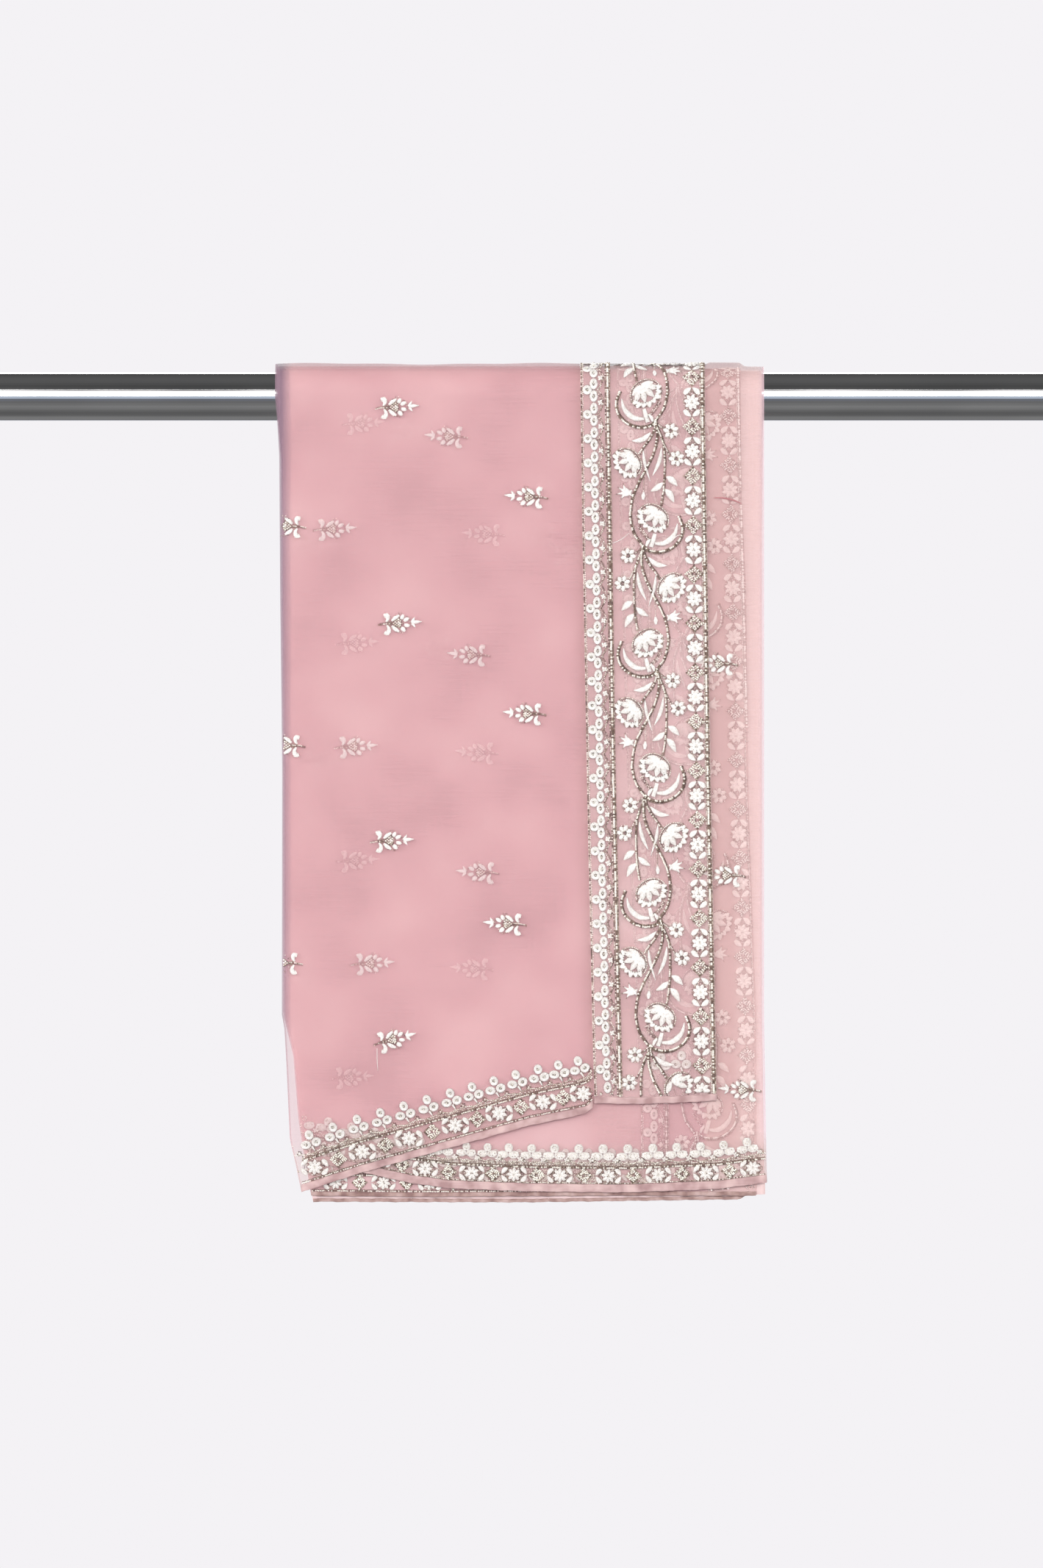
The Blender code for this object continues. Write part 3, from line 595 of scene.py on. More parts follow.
def diamond(work, centre, size=4.9):
    """A lozenge of mixed white and metal knots."""
    for scale, count, tone in ((1.06, 24, 0.6), (0.8, 16, 1.1), (0.52, 9, 1.0), (0.26, 4, 0.5)):
        share = np.linspace(0, 4, count, endpoint=False)
        corner = np.floor(share)
        t = (share - corner)[:, None]
        ends = [oval(1, 1, (corner + k) * math.pi / 2) for k in (0, 1)]
        line = moved((1 - t) * ends[0] + t * ends[1], centre, 0, 1, size * scale)
        line = line + RNG.normal(0, 0.12, (count, 2))
        tones = np.clip(tone + RNG.uniform(-0.4, 0.4, count), 0, 1)
        beads(work.metal, line, 0.7, tones, height=0.15)
    petals(work, centre, 4, size * 0.62, size * 0.36, size * 0.24, math.pi / 4, 0.8)


def bud(work, centre, turn, flip, size=4.6):
    """A small leafy bud with four points."""
    def put(points):
        return moved(points, centre, turn, flip, size)

    for spread, reach, width in ((-1.25, 0.95, 0.5), (-0.42, 1.05, 0.52), (0.42, 1.0, 0.52),
                                 (1.2, 1.0, 0.5)):
        tip = reach * toward(spread)
        ribbon(work.white, put([(-0.55, 0.12 * spread), tip * (0.35, 0.5), tip]),
               [size * 0.35, size * width, size * width * 0.7, 0.3], 0.85, 5)
        beads(work.metal, put([tip * 1.1]), 0.42, 0.3)
    ribbon(work.white, put([(-0.95, -0.3), (-0.6, 0.0), (-0.85, 0.4)]), [0.8, size * 0.5, 0.8], 0.7, 4)


# One half unit of the vine about its node, from the node's own place
VINE_STEM = [(0, 0), (0.9, 3.4), (1.1, 10.9), (-1.1, 19.5), (-5.7, 29.3), (-10.3, 37.9),
             (-13.8, 46.5), (-15.2, 55.7), (-15.1, 60.3), (-12.9, 68.8), (-7.8, 76.4)]
BLOSSOM_STEM = [(0, 0), (2.3, 6.3), (4.6, 12.1), (5.7, 20.7), (5.7, 32), (5.0, 43), (3.6, 51.5)]
SIDE_STEM = [(0, 0), (-0.6, 5.2), (-3.4, 10.9), (-6.9, 15.5), (-9.8, 19.9)]
SCROLL = [(-21.8, -17.8), (-24.0, -10.9), (-22.4, -4.0), (-17.2, 1.3), (-10.3, 3.7), (-3.4, 2.9),
          (0, 0.4)]
NET = [(4.0, -18.5), (1.6, -12.0), (-1.8, -6.6), (-6.0, -2.8)]
LEAVES = [
    ([(-2.9, 6.9), (-6.5, 10.3), (-10.0, 11.7), (-14.4, 12.0)], (0.8, 3.2, 3.0, 0.4)),
    ([(-7.5, 18.0), (-6.9, 24.0), (-5.4, 30.0), (-3.2, 36.7)], (0.6, 2.2, 1.4, 0.3)),
    ([(3.7, 16.1), (3.2, 21.0), (1.4, 27.0), (-1.7, 33.3)], (0.5, 2.4, 2.2, 0.4)),
    ([(6.6, 34.0), (9.6, 35.6), (13.4, 39.4)], (0.8, 4.2, 3.4, 0.6)),
    ([(5.6, 41.6), (8.6, 44.4), (11.4, 49.6)], (0.8, 4.4, 3.4, 0.6)),
    ([(4.6, 37.6), (1.2, 40.6), (-2.8, 42.8)], (0.8, 3.8, 3.2, 0.6)),
    ([(-7.2, 43.2), (-7.4, 45.2), (-7.6, 48.0)], (1.0, 2.6, 1.2)),
    ([(-20.7, -13.8), (-19.6, -8.5), (-16.4, -4.2), (-12.0, -1.6), (-7.0, -1.6)],
     (0.5, 2.2, 3.4, 3.0, 1.6)),
    ([(-7.0, -7.6), (-6.0, -4.0), (-4.6, 0.6)], (2.2, 2.8, 2.6)),
    ([(-4.2, -4.2), (-2.6, -2.4), (-1.6, 0.2)], (1.4, 2.2, 1.2)),
]


def vine(work, middle, start, numbers):
    for number in numbers:
        flip = 1.0 if number % 2 == 0 else -1.0
        along = QUARTER + start + number * VINE_PITCH
        root = (float(edge_at(middle, along)) + flip * 3.9, along)

        def put(points, root=root, flip=flip):
            return moved(points, root, 0.0, flip)

        for stem, bold in ((VINE_STEM, 1.15), (BLOSSOM_STEM, 1.0), (SIDE_STEM, 1.0), (SCROLL, 1.25)):
            cord(work.metal, put(stem), bold)
        chain(work.metal, put(NET), 1.0, 0.46, 0.5, 0.5)
        for shift in (0.8, 1.6):
            chain(work.metal, put([(x + shift, y + 0.4 * shift) for x, y in NET[1:]]), 1.1, 0.42, 0.5, 0.5)
        cord(work.metal, put([(1.2, 1.6), (4.4, 4.0)]), 0.8)
        cord(work.metal, put([(3.6, 10.6), (6.0, 15.4), (8.4, 20.0)]), 0.8)
        chain(work.metal, put([(-6.4, 30.6), (-7.1, 36.4), (-7.2, 42.6)]), 1.0, 0.36, 0.7, 0.3)
        for axis, widths in LEAVES:
            ribbon(work.white, put(axis), widths, 0.75, 8)
        for spot in ((9.5, 5.9), (12.9, 22.9)):
            small_flower(work, put([spot])[0])
        blossom(work, put([(-6.0, -17.2)])[0], math.radians(57), 9.1, flip)
        blossom(work, put([(-17.0, 25.4)])[0], math.radians(142), 8.9, flip)
        bud(work, put([(-18.6, 43.4)])[0], math.radians(190), flip)


VINE_START = 15.3
VINE_PITCH = 76.4
TREFOIL_PITCH = 14.85
STAR_PITCH = 30.1
STAR_START = 3.6
EDGING_LOOP = [(11.2, 0), (13.0, 3.0), (14.4, 7.4), (13.0, 11.8), (11.2, TREFOIL_PITCH)]


def down_line(table, shift, low, high, back=None):
    along = np.arange(low, high, 6.0)
    return np.stack([edge_at(table, along, back) + shift, along], axis=1)


def pallu_work(work, tables, start, low, high):
    """The whole worked end: edging of rings, vine, stars and diamonds, and metal cords."""
    left, middle, vine_middle, stars, right = tables

    def repeats(pitch):
        return range(int((low - start) / pitch) - 1, int((high - start) / pitch) + 1)

    for lay, table, shift, row in ((chain, left, 0.8, (1.0, 0.56, 0.55, 0.45)),
                                   (chain, left, 1.7, (1.1, 0.44, 0.8, 0.2)),
                                   (cord, middle, 0.4, (1.3, 0.46)),
                                   (chain, middle, -1.3, (1.0, 0.52, 0.5, 0.45)),
                                   (cord, right, -1.7, (1.3, 0.42)),
                                   (chain, right, -3.2, (1.0, 0.46, 0.7, 0.3))):
        lay(work.metal, down_line(table, shift, low, high), *row)
    for number in repeats(TREFOIL_PITCH):
        along = start + QUARTER - 19.0 + number * TREFOIL_PITCH
        x = float(edge_at(left, along))
        filled_ring(work, (x + 4.4, along), 1.75, 1.75, 0.0, 1.2)
        for step in (-3.7, 3.7):
            filled_ring(work, (x + 8.4, along + step), 1.4, 2.45, 0.0, 1.2)
        knot = (x + 12.5, along + 7.4)
        petals(work, knot, 4, 0.9, 1.7, 1.5, RNG.uniform(0, 1), 0.7)
        beads(work.metal, knot + oval(1.2, 1.2, turns(6)), 0.42, RNG.uniform(0.3, 1, 6))
        loop = (x, along) + np.array(EDGING_LOOP)
        chain(work.metal, loop, 1.0, 0.48, 0.5, 0.45)
        chain(work.metal, loop + (-0.9, 0.8), 1.1, 0.42, 0.6, 0.4)
    for number in repeats(STAR_PITCH):
        along = start + QUARTER - VINE_START + STAR_START + number * STAR_PITCH
        star(work, (float(edge_at(stars, along)), along))
        half = along + STAR_PITCH / 2
        x = float(edge_at(stars, half))
        diamond(work, (x, half))
        for way in (-1, 1):
            chain(work.metal, [(x, half + way * 4.8), (x, half + way * 7.0)], 0.9, 0.42, 0.3, 0.3)
    vine(work, vine_middle, start, repeats(VINE_PITCH))


# Rings of a trefoil: place, radii and lean
TREFOIL_RINGS = [((0.2, -3.9), (1.5, 1.95), 0.0), ((-3.4, 1.3), (2.05, 1.55), 0.2),
                 ((3.1, 1.4), (1.95, 1.7), -0.4)]


def trefoil(work, centre, turn):
    """Three rings on a short metal stem, pointing up."""
    for spot, (across, down), lean in TREFOIL_RINGS:
        filled_ring(work, moved([spot], centre, turn)[0], across, down, turn + lean, 1.25)
    leaf = moved([(-0.4, 3.2), (0.4, 5.0), (1.0, 6.6)], centre, turn)
    ribbon(work.white, leaf, (1.4, 1.1, 0.5), 0.6, 3)
    chain(work.metal, moved([(1.2, 3.2), (0.9, 4.8), (0.9, 6.6)], centre, turn), 0.95, 0.42, 0.4, 0.3)


# Lobes of a full trefoil: axis, widths, and the ring of pale knots on each
FULL_LOBES = [
    ([(-6.5, 1.0), (-3.2, 1.6), (-0.1, 1.3)], (2.6, 4.9, 4.8, 2.6), (-3.2, 1.5, 1.9, 1.2)),
    ([(6.3, 0.8), (3.2, 1.5), (0.1, 1.3)], (2.6, 4.9, 4.8, 2.6), (3.2, 1.4, 1.9, 1.2)),
    ([(-0.1, -0.2), (0.1, -2.9), (0.2, -5.4)], (3.4, 5.4, 5.4, 3.0), (0.1, -2.9, 1.3, 1.3)),
]


def full_trefoil(work, centre, turn, size):
    """Three lobes filled with satin stitch, each with a ring of pale knots."""
    for axis, widths, (x, y, across, down) in FULL_LOBES:
        ribbon(work.white, moved(axis, centre, turn, 1.0, size), [w * size for w in widths], 0.8, 6)
        spots = (x, y) + oval(across, down, turns(8) + RNG.uniform())
        beads(work.metal, moved(spots, centre, turn, 1.0, size), 0.42, RNG.uniform(0.45, 1, 8), height=0.75)


def band_work(work, line, side, rises, span, places, size, full=False):
    """The border along a hem: two lines of metal cord, stars and diamonds, and an edging of rings."""
    lower, middle, upper, rings = rises

    def at(x, rise):
        return (x, side * (QUARTER + float(read(line, x)) - rise))

    def row(rise, wave=0.0):
        return [at(x, rise + wave * math.sin(0.9 * x)) for x in np.arange(span[0], span[1] + 0.1, 3.0)]

    if full:
        chain(work.metal, row(lower), 1.0, 0.5, 0.6, 0.4)
    else:
        cord(work.metal, row(lower), 0.85, 0.3)
    cord(work.metal, row(upper), 1.0, 0.38)
    chain(work.metal, row(upper + 1.5), 1.1, 0.5, 0.7, 0.3)
    chain(work.metal, row(upper + 2.7, 0.6), 1.15, 0.44, 0.65, 0.4)
    for number in range(places[0][0], places[-1][0] + 1):
        x, after = read(places, [number, number + 1])
        if number % 2 == 0:
            star(work, at(x, middle), size * 0.96, False)
        else:
            diamond(work, at(x, middle), size * 1.04)
        tilt = side * math.atan(float(read(line, x + 2) - read(line, x - 2)) / 4)
        turn = tilt if side > 0 else math.pi + tilt
        half = (x + after) / 2
        if full:
            full_trefoil(work, at(x - 3.4, rings), turn, 0.93 * (after - x) / 13.2)
            petals(work, at(half - 3.4, upper + 4.4), 4, 0.85, 1.7, 1.4, RNG.uniform(0, 1), 0.7)
        else:
            trefoil(work, at(x - 2.4, rings), turn)
        knot = at(half - 2.0, upper + 4.4)
        beads(work.metal, knot + oval(1.25, 1.25, turns(7)), 0.5, RNG.uniform(0, 0.7, 7))
        beads(work.metal, [knot], 0.6, 1.0)
        scallop = ((x - 2.0, 2.0), (x + 1.6, 2.8), (half - 2.0, 3.6), (after - 5.6, 2.8),
                   (after - 2.0, 2.0))
        chain(work.metal, [at(spot, upper + rise) for spot, rise in scallop], 1.0, 0.48, 0.75, 0.25)


# White leaves and petals of a sprig: axis from its flower's centre, and widths
SPRIG_LEAVES = [
    ([(-8.4, -0.9), (-7.3, -2.9), (-7.8, -5.0), (-9.8, -4.6)], (1.1, 2.2, 3.2, 2.3)),
    ([(-7.9, 1.1), (-6.6, 3.5), (-7.6, 6.0), (-9.4, 5.5)], (1.1, 2.2, 3.2, 2.3)),
    ([(-5.0, -1.5), (-2.6, -3.6), (-0.3, -5.0)], (1.2, 2.5, 2.4, 1.2)),
    ([(-5.0, 1.5), (-2.6, 3.6), (-0.3, 5.0)], (1.2, 2.5, 2.4, 1.2)),
    ([(0.6, -2.6), (1.5, -4.0), (2.2, -5.5)], (1.4, 2.6, 2.4, 1.0)),
    ([(2.4, -1.4), (4.0, -2.5), (5.6, -3.2)], (1.4, 2.5, 2.4, 1.0)),
    ([(2.6, 0.7), (4.4, 1.2), (6.0, 1.3)], (1.4, 2.4, 2.4, 1.0)),
    ([(0.8, 2.4), (2.0, 3.6), (3.3, 4.9)], (1.6, 2.9, 2.6, 1.0)),
    ([(7.0, -0.5), (9.4, -0.9), (13.6, -1.2)], (2.4, 2.2, 0.3)),
    ([(7.3, -1.0), (8.3, -2.4), (9.1, -3.9)], (1.6, 1.6, 0.3)),
    ([(7.5, 0.1), (8.6, 1.2), (9.5, 2.4)], (1.6, 1.6, 0.3)),
    ([(-1.2, -0.4), (-0.2, -0.2), (0.8, 0.3)], (0.8, 1.5, 0.8)),
]
SPRIG_LATTICE = [(-5.2, 0.0), (-2.6, -1.8), (-0.3, -3.5), (1.6, 0.0), (-0.2, 2.8), (-2.6, 1.6),
                 (-5.2, 0.0)]
SPRIG_FILL = [(-3.8, 0.0), (-2.8, -0.9), (-2.8, 0.8), (-1.8, -1.9), (-1.8, -0.1), (-1.8, 1.4), (-0.8, -2.4),
              (-0.8, -1.0), (-0.8, 0.8), (-0.5, 2.0), (0.3, -1.6), (0.4, 0.0), (0.2, 1.2)]
SPRIG_RIM = [(-0.8, -6.4), (-0.2, -5.6), (1.1, -6.5), (4.3, -4.3), (5.8, -2.4), (6.3, -1.0), (6.0, 0.9),
             (3.9, 3.2), (2.7, 4.9), (1.7, 5.8), (0.2, 5.5), (-2.2, 5.2), (-4.6, 2.4), (-4.4, -2.8),
             (-2.6, -4.8)]


def sprig(work, centre, way, turn=0.0):
    """A scattered sprig: knotted stem, two curled leaves, a round flower, and a tip of three leaves."""
    def put(points):
        return moved(points, centre, turn, float(way))

    for axis, widths in SPRIG_LEAVES:
        ribbon(work.white, put(axis), widths, 0.85, 7)
    cord(work.metal, put([(-12.9, 0.9), (-9.6, 0.2), (-5.4, 0.0)]), 0.8)
    beads(work.metal, put([(-7.0, -0.9), (-6.6, 0.9), (-5.6, -0.9), (-5.8, 0.9)]), 0.5, 0.45, height=0.1)
    beads(work.metal, put(SPRIG_FILL), 0.72, RNG.uniform(0.62, 1.0, len(SPRIG_FILL)), height=0.15)
    for pair in zip(SPRIG_LATTICE, SPRIG_LATTICE[1:]):
        chain(work.metal, put(pair), 1.0, 0.4, 0.32, 0.3, height=0.35)
    beads(work.metal, put(SPRIG_RIM), 0.42, RNG.uniform(0, 0.8, len(SPRIG_RIM)), height=0.15)


# Materials

def start_material(name):
    material = bpy.data.materials.new(name)
    material.use_nodes = True
    tree = material.node_tree
    return material, tree, tree.nodes["Principled BSDF"]


def fill(tree, made, inputs):
    """Links sockets to a node's inputs and sets its plain values; i3 stands for input number 3."""
    for key, value in inputs.items():
        numbered = key[0] == "i" and key[1:].isdigit()
        socket = made.inputs[int(key[1:]) if numbered else key]
        if isinstance(value, bpy.types.NodeSocket):
            tree.links.new(value, socket)
        else:
            socket.default_value = value


def node(tree, kind, settings=(), **inputs):
    made = tree.nodes.new("ShaderNode" + kind)
    for key, value in settings:
        setattr(made, key, value)
    fill(tree, made, inputs)
    return made


def maths(tree, operation, *values, clamp=False):
    """One value, or two or more joined from left to right."""
    settings = [("operation", operation), ("use_clamp", clamp)]
    total = values[0]
    for value in values[1:] or (0.0,):
        total = node(tree, "Math", settings, i0=total, i1=value).outputs[0]
    return total


def times(tree, *values):
    return maths(tree, "MULTIPLY", *values)


def ranged(tree, value, low, high, to_low=0.0, to_high=1.0):
    return node(tree, "MapRange", i0=value, i1=low, i2=high, i3=to_low, i4=to_high).outputs[0]


def ramp(tree, value, stops):
    made, stops = node(tree, "ValToRGB", i0=value), list(stops)
    elements = made.color_ramp.elements
    while len(elements) < len(stops):
        elements.new(0.5)
    for element, (position, colour) in zip(elements, stops):
        element.position = position
        element.color = (*colour, 1.0)
    return made.outputs[0]


def blended(tree, share, first, colour):
    return node(tree, "Mix", [("data_type", "RGBA")], i0=share, i6=first, i7=(*colour, 1.0)).outputs[2]


def attribute(tree, name):
    return node(tree, "Attribute", [("attribute_name", name)]).outputs["Vector"]


def axes_of(tree, vector):
    return node(tree, "SeparateXYZ", i0=vector).outputs


def scaled(tree, vector, scale):
    return node(tree, "Mapping", i0=vector, i3=scale).outputs[0]


def noise(tree, vector, scale, detail=2.0, roughness=0.5):
    return node(tree, "TexNoise", Vector=vector, Scale=scale, Detail=detail, Roughness=roughness).outputs[0]


def bump(tree, strength, distance, height):
    return node(tree, "Bump", Strength=strength, Distance=distance, Height=height).outputs[0]


def organza(name, colours, alpha, sheer=0.025, tints=(), mottle=0.016):
    """Fine sheer plain weave: cloudy colour, long slubs, and threads that thin and thicken."""
    material, tree, shader = start_material(name)
    flat = attribute(tree, "flat")
    x, along, _ = axes_of(tree, flat)
    rise, right, _ = axes_of(tree, attribute(tree, "stitch"))
    clouds = noise(tree, flat, mottle, 2.0, 0.45)
    slubs = noise(tree, scaled(tree, flat, (0.035, 0.75, 1.0)), 1.0, 3.0, 0.6)
    drift = noise(tree, scaled(tree, flat, (0.5, 0.04, 1.0)), 1.0, 2.0, 0.5)
    warp = maths(tree, "SINE", times(tree, x, TURN / 0.55))
    weft = maths(tree, "SINE", times(tree, along, TURN / 0.6))
    cloudy = maths(tree, "ADD", times(tree, clouds, 0.9), times(tree, slubs, 0.1))
    base = ramp(tree, cloudy, zip((0.34, 0.5, 0.66), colours))
    values = {"x": x, "rise": rise, "right": right, "rod": maths(tree, "ABSOLUTE", along)}
    # Tints blend colours in by place; among them are painted shadows beside the worked end's edges and
    # painted shade over the rod.
    for axis, low, high, colour in tints:
        base = blended(tree, ranged(tree, values[axis], low, high), base, colour)
    thin = maths(tree, "ADD", times(tree, maths(tree, "SUBTRACT", slubs, 0.5), sheer * 2.4),
                 times(tree, maths(tree, "SUBTRACT", drift, 0.5), sheer * 1.2),
                 times(tree, warp, weft, sheer * 0.5))
    fill(tree, shader, {"Base Color": base, "Alpha": maths(tree, "ADD", thin, alpha, clamp=True),
                        "Normal": bump(tree, 0.07, 0.0003, slubs), "Roughness": 0.6,
                        "Specular IOR Level": 0.12, "Sheen Weight": 0.06, "Sheen Roughness": 0.4})
    return material


def satin_thread(name, stops, outline):
    """White silk laid in satin stitch: fine ridges across each leaf with painted shade between them,
    painted shade towards the rim of each leaf and ring, and greyer low on the falls.
    """
    material, tree, shader = start_material(name)
    stitch = attribute(tree, "stitch")
    length, across, out = axes_of(tree, stitch)
    uneven = noise(tree, stitch, 0.8, 2.0)
    slant = maths(tree, "ADD", length, times(tree, across, 0.45))
    ridges = maths(tree, "SINE", maths(tree, "ADD", times(tree, slant, TURN / 0.62),
                                       times(tree, uneven, 5.0)))
    # The ridges paint shade into the colour as well as into the bump; the noise gives uneven tone.
    tone = maths(tree, "ADD", times(tree, ridges, 0.22), times(tree, uneven, 0.9))
    along = maths(tree, "ABSOLUTE", axes_of(tree, attribute(tree, "flat"))[1])
    # Painted shade: the outer part of each leaf's and ring's width blends towards the last colour; all
    # whites also blend a little towards it low on the falls, near the hems.
    edge = maths(tree, "ADD", ranged(tree, out, 0.66, 1.0, 0.0, 0.62),
                 ranged(tree, along, 400.0, 470.0, 0.0, 0.17))
    colour = blended(tree, edge, ramp(tree, tone, stops), outline)
    fill(tree, shader, {"Base Color": colour, "Normal": bump(tree, 0.6, 0.0004, ridges),
                        "Roughness": 0.45, "Sheen Weight": 0.2})
    return material


BRONZE = [(0.14, (0.07, 0.042, 0.03)), (0.42, (0.24, 0.17, 0.125)), (0.64, (0.60, 0.53, 0.44)),
          (0.85, (0.90, 0.87, 0.79))]
# Pinker, lower-contrast copy of the bronze: painted shade and pink cast of the sheer layers above.
INSIDE_BRONZE_SHADED = [(0.1, (0.34, 0.22, 0.21)), (0.5, (0.62, 0.47, 0.45)), (0.85, (0.90, 0.80, 0.77))]


def metal_thread(name, stops):
    """Dull metal thread: each knot between dark bronze and pale silver, worn unevenly."""
    material, tree, shader = start_material(name)
    tone = axes_of(tree, attribute(tree, "stitch"))[2]
    wear = noise(tree, attribute(tree, "flat"), 1.4, 2.0)
    worn = maths(tree, "ADD", tone, times(tree, maths(tree, "SUBTRACT", wear, 0.5), 0.5))
    fill(tree, shader, {"Base Color": ramp(tree, worn, stops), "Normal": bump(tree, 0.4, 0.0002, wear),
                        "Roughness": ranged(tree, wear, 0.3, 0.7, 0.28, 0.5), "Metallic": 0.08})
    return material


def chrome():
    """Polished tube: drawn lengthwise, so that faint lines and smears run along it."""
    material, tree, shader = start_material("polished_rod")
    place_of = node(tree, "TexCoord").outputs["Object"]
    drawn = noise(tree, scaled(tree, place_of, (6.0, 900.0, 900.0)), 1.0, 3.0)
    smears = noise(tree, scaled(tree, place_of, (14.0, 60.0, 60.0)), 1.0, 2.0)
    rough = ranged(tree, maths(tree, "ADD", drawn, smears), 0.7, 1.3, 0.05, 0.12)
    tint = ramp(tree, smears, [(0.35, (0.70, 0.70, 0.71)), (0.65, (0.77, 0.77, 0.78))])
    fill(tree, shader, {"Base Color": tint, "Normal": bump(tree, 0.05, 0.00005, drawn),
                        "Roughness": rough, "Metallic": 1.0})
    return material


WHITES = [(0.16, (0.52, 0.46, 0.42)), (0.40, (0.86, 0.825, 0.79)), (0.62, (0.97, 0.95, 0.92))]
# The last colour of each satin is the painted shade at the rims.
SATIN = satin_thread("satin_thread", WHITES, (0.40, 0.32, 0.29))
# The inside copy is dimmer and pinker: painted shade and pink cast of the sheer layers above.
INSIDE_SATIN_SHADED = satin_thread("satin_thread_inside_shaded", [(0.16, (0.72, 0.56, 0.54)), (0.62, (0.93, 0.80, 0.765))],
                          (0.66, 0.50, 0.48))
ZARI = metal_thread("metal_thread", BRONZE)
INSIDE_ZARI_SHADED = metal_thread("metal_thread_inside_shaded", INSIDE_BRONZE_SHADED)
PINKS = [(0.425, 0.23, 0.25), (0.47, 0.257, 0.278), (0.505, 0.29, 0.302)]
UNDER_PINKS = [(0.435, 0.245, 0.26), (0.475, 0.275, 0.288), (0.505, 0.31, 0.325)]
PALE_PINKS = [(0.55, 0.40, 0.40), (0.58, 0.43, 0.43), (0.61, 0.46, 0.455)]
GREYED = [(0.49, 0.35, 0.345), (0.54, 0.395, 0.385), (0.59, 0.455, 0.44)]
HEM_PINKS = [(0.37, 0.23, 0.23), (0.52, 0.355, 0.35), (0.64, 0.465, 0.45)]
LOW_PINKS = [(0.22, 0.13, 0.12), (0.34, 0.225, 0.205), (0.46, 0.33, 0.31)]
LEFT_TINT = ("x", -140.5, -147.0, (0.22, 0.14, 0.18))
BAND_TINT = ("rise", 32.0, 22.0, (0.45, 0.295, 0.29))
# Painted shadow: the top field darkens over the last 8 mm before its right edge, beside the worked end.
PALLU_EDGE_SHADOW = ("right", 8.0, -1.0, (0.35, 0.19, 0.19))
TOP_ORGANZA = organza("organza", PINKS, 0.42, tints=[LEFT_TINT, BAND_TINT, PALLU_EDGE_SHADOW])
# The worked end darkens within 11 mm of the top of the rod: partly its metal threads crowded edge-on over
# the fold, partly painted shade.
PALLU_ORGANZA = organza("embroidered_organza", GREYED, 0.36, tints=[("rod", 11.0, 5.0, (0.2, 0.165, 0.16))])
# Painted shadow beside the worked end's right edge: from x 114 the second layer is a flat pink, turning
# lighter between x 129 and 135, so a darker strip lies next to the worked end.
RIGHT_SHADOW_TINTS = [("x", 110.5, 114.0, (0.465, 0.288, 0.282)), ("x", 129.0, 135.0, (0.56, 0.39, 0.38))]
SECOND_ORGANZA = organza("organza_under", UNDER_PINKS, 0.42,
                         tints=[LEFT_TINT, *RIGHT_SHADOW_TINTS, ("x", 144.5, 149.5, (0.60, 0.44, 0.49)),
                                ("rise", 31.0, 20.0, (0.45, 0.31, 0.30))])
THIRD_ORGANZA = organza("organza_third", UNDER_PINKS, 0.5,
                        tints=[LEFT_TINT, ("x", 111.5, 115.0, (0.48, 0.315, 0.305))])
# Past x 138 the folds turn lighter, which keeps the painted shadow strip beside the worked end's right
# edge.
FOLDS_ORGANZA = organza("organza_folds", PALE_PINKS, 0.97, 0.02,
                        [LEFT_TINT, ("x", 128.0, 138.0, (0.59, 0.44, 0.43))])
HEM_ORGANZA = organza("organza_hem", HEM_PINKS, 0.72, mottle=0.11)
LOW_HEM_ORGANZA = organza("organza_hem_low", LOW_PINKS, 0.85, mottle=0.14)


# Cloth

def ends(line, rise):
    """A line across the front and its match behind, both raised."""
    return raised(line, rise), raised(back_of(line), rise)


TOP_SIDES = ((TOP_LEFT, BACK_LEFT), (PALLU_LEFT, None))
LOWER_SIDES = ((LOWER_LEFT, BACK_LEFT), (LOWER_RIGHT, BACK_RIGHT))
top_cloth = cloth("top_field_cloth", "top", (TOP_SIDES[0], (shifted(PALLU_LEFT, -0.1), None)),
                  ends(TOP_HEM, 0.6), TOP_ORGANZA, (True, False))
pallu_cloth = cloth("pallu_cloth", "top", ((shifted(PALLU_LEFT, 0.1), None), (PALLU_RIGHT, None)),
                    ends(PALLU_HEM, 0.6), PALLU_ORGANZA, (False, True))
second_cloth = cloth("second_cloth", "second", LOWER_SIDES, ends(SECOND_HEM, 0.6), SECOND_ORGANZA)
third_cloth = cloth("third_cloth", "third",
                    ((shifted(LOWER_LEFT, 0.6), shifted(BACK_LEFT, 0.4)), (OTHER_END, None)),
                    ends(THIRD_HEM, 0.6), THIRD_ORGANZA)
folds_cloth = cloth("folds_cloth", "folds", ((shifted(LOWER_LEFT, 1.2), shifted(BACK_LEFT, 0.8)),
                                             (shifted(LOWER_RIGHT, -1.2), shifted(BACK_RIGHT, -1.0))),
                    ends(FOURTH_HEM, 0.6), FOLDS_ORGANZA)
for piece in (top_cloth, pallu_cloth, second_cloth, third_cloth):
    piece.visible_shadow = False

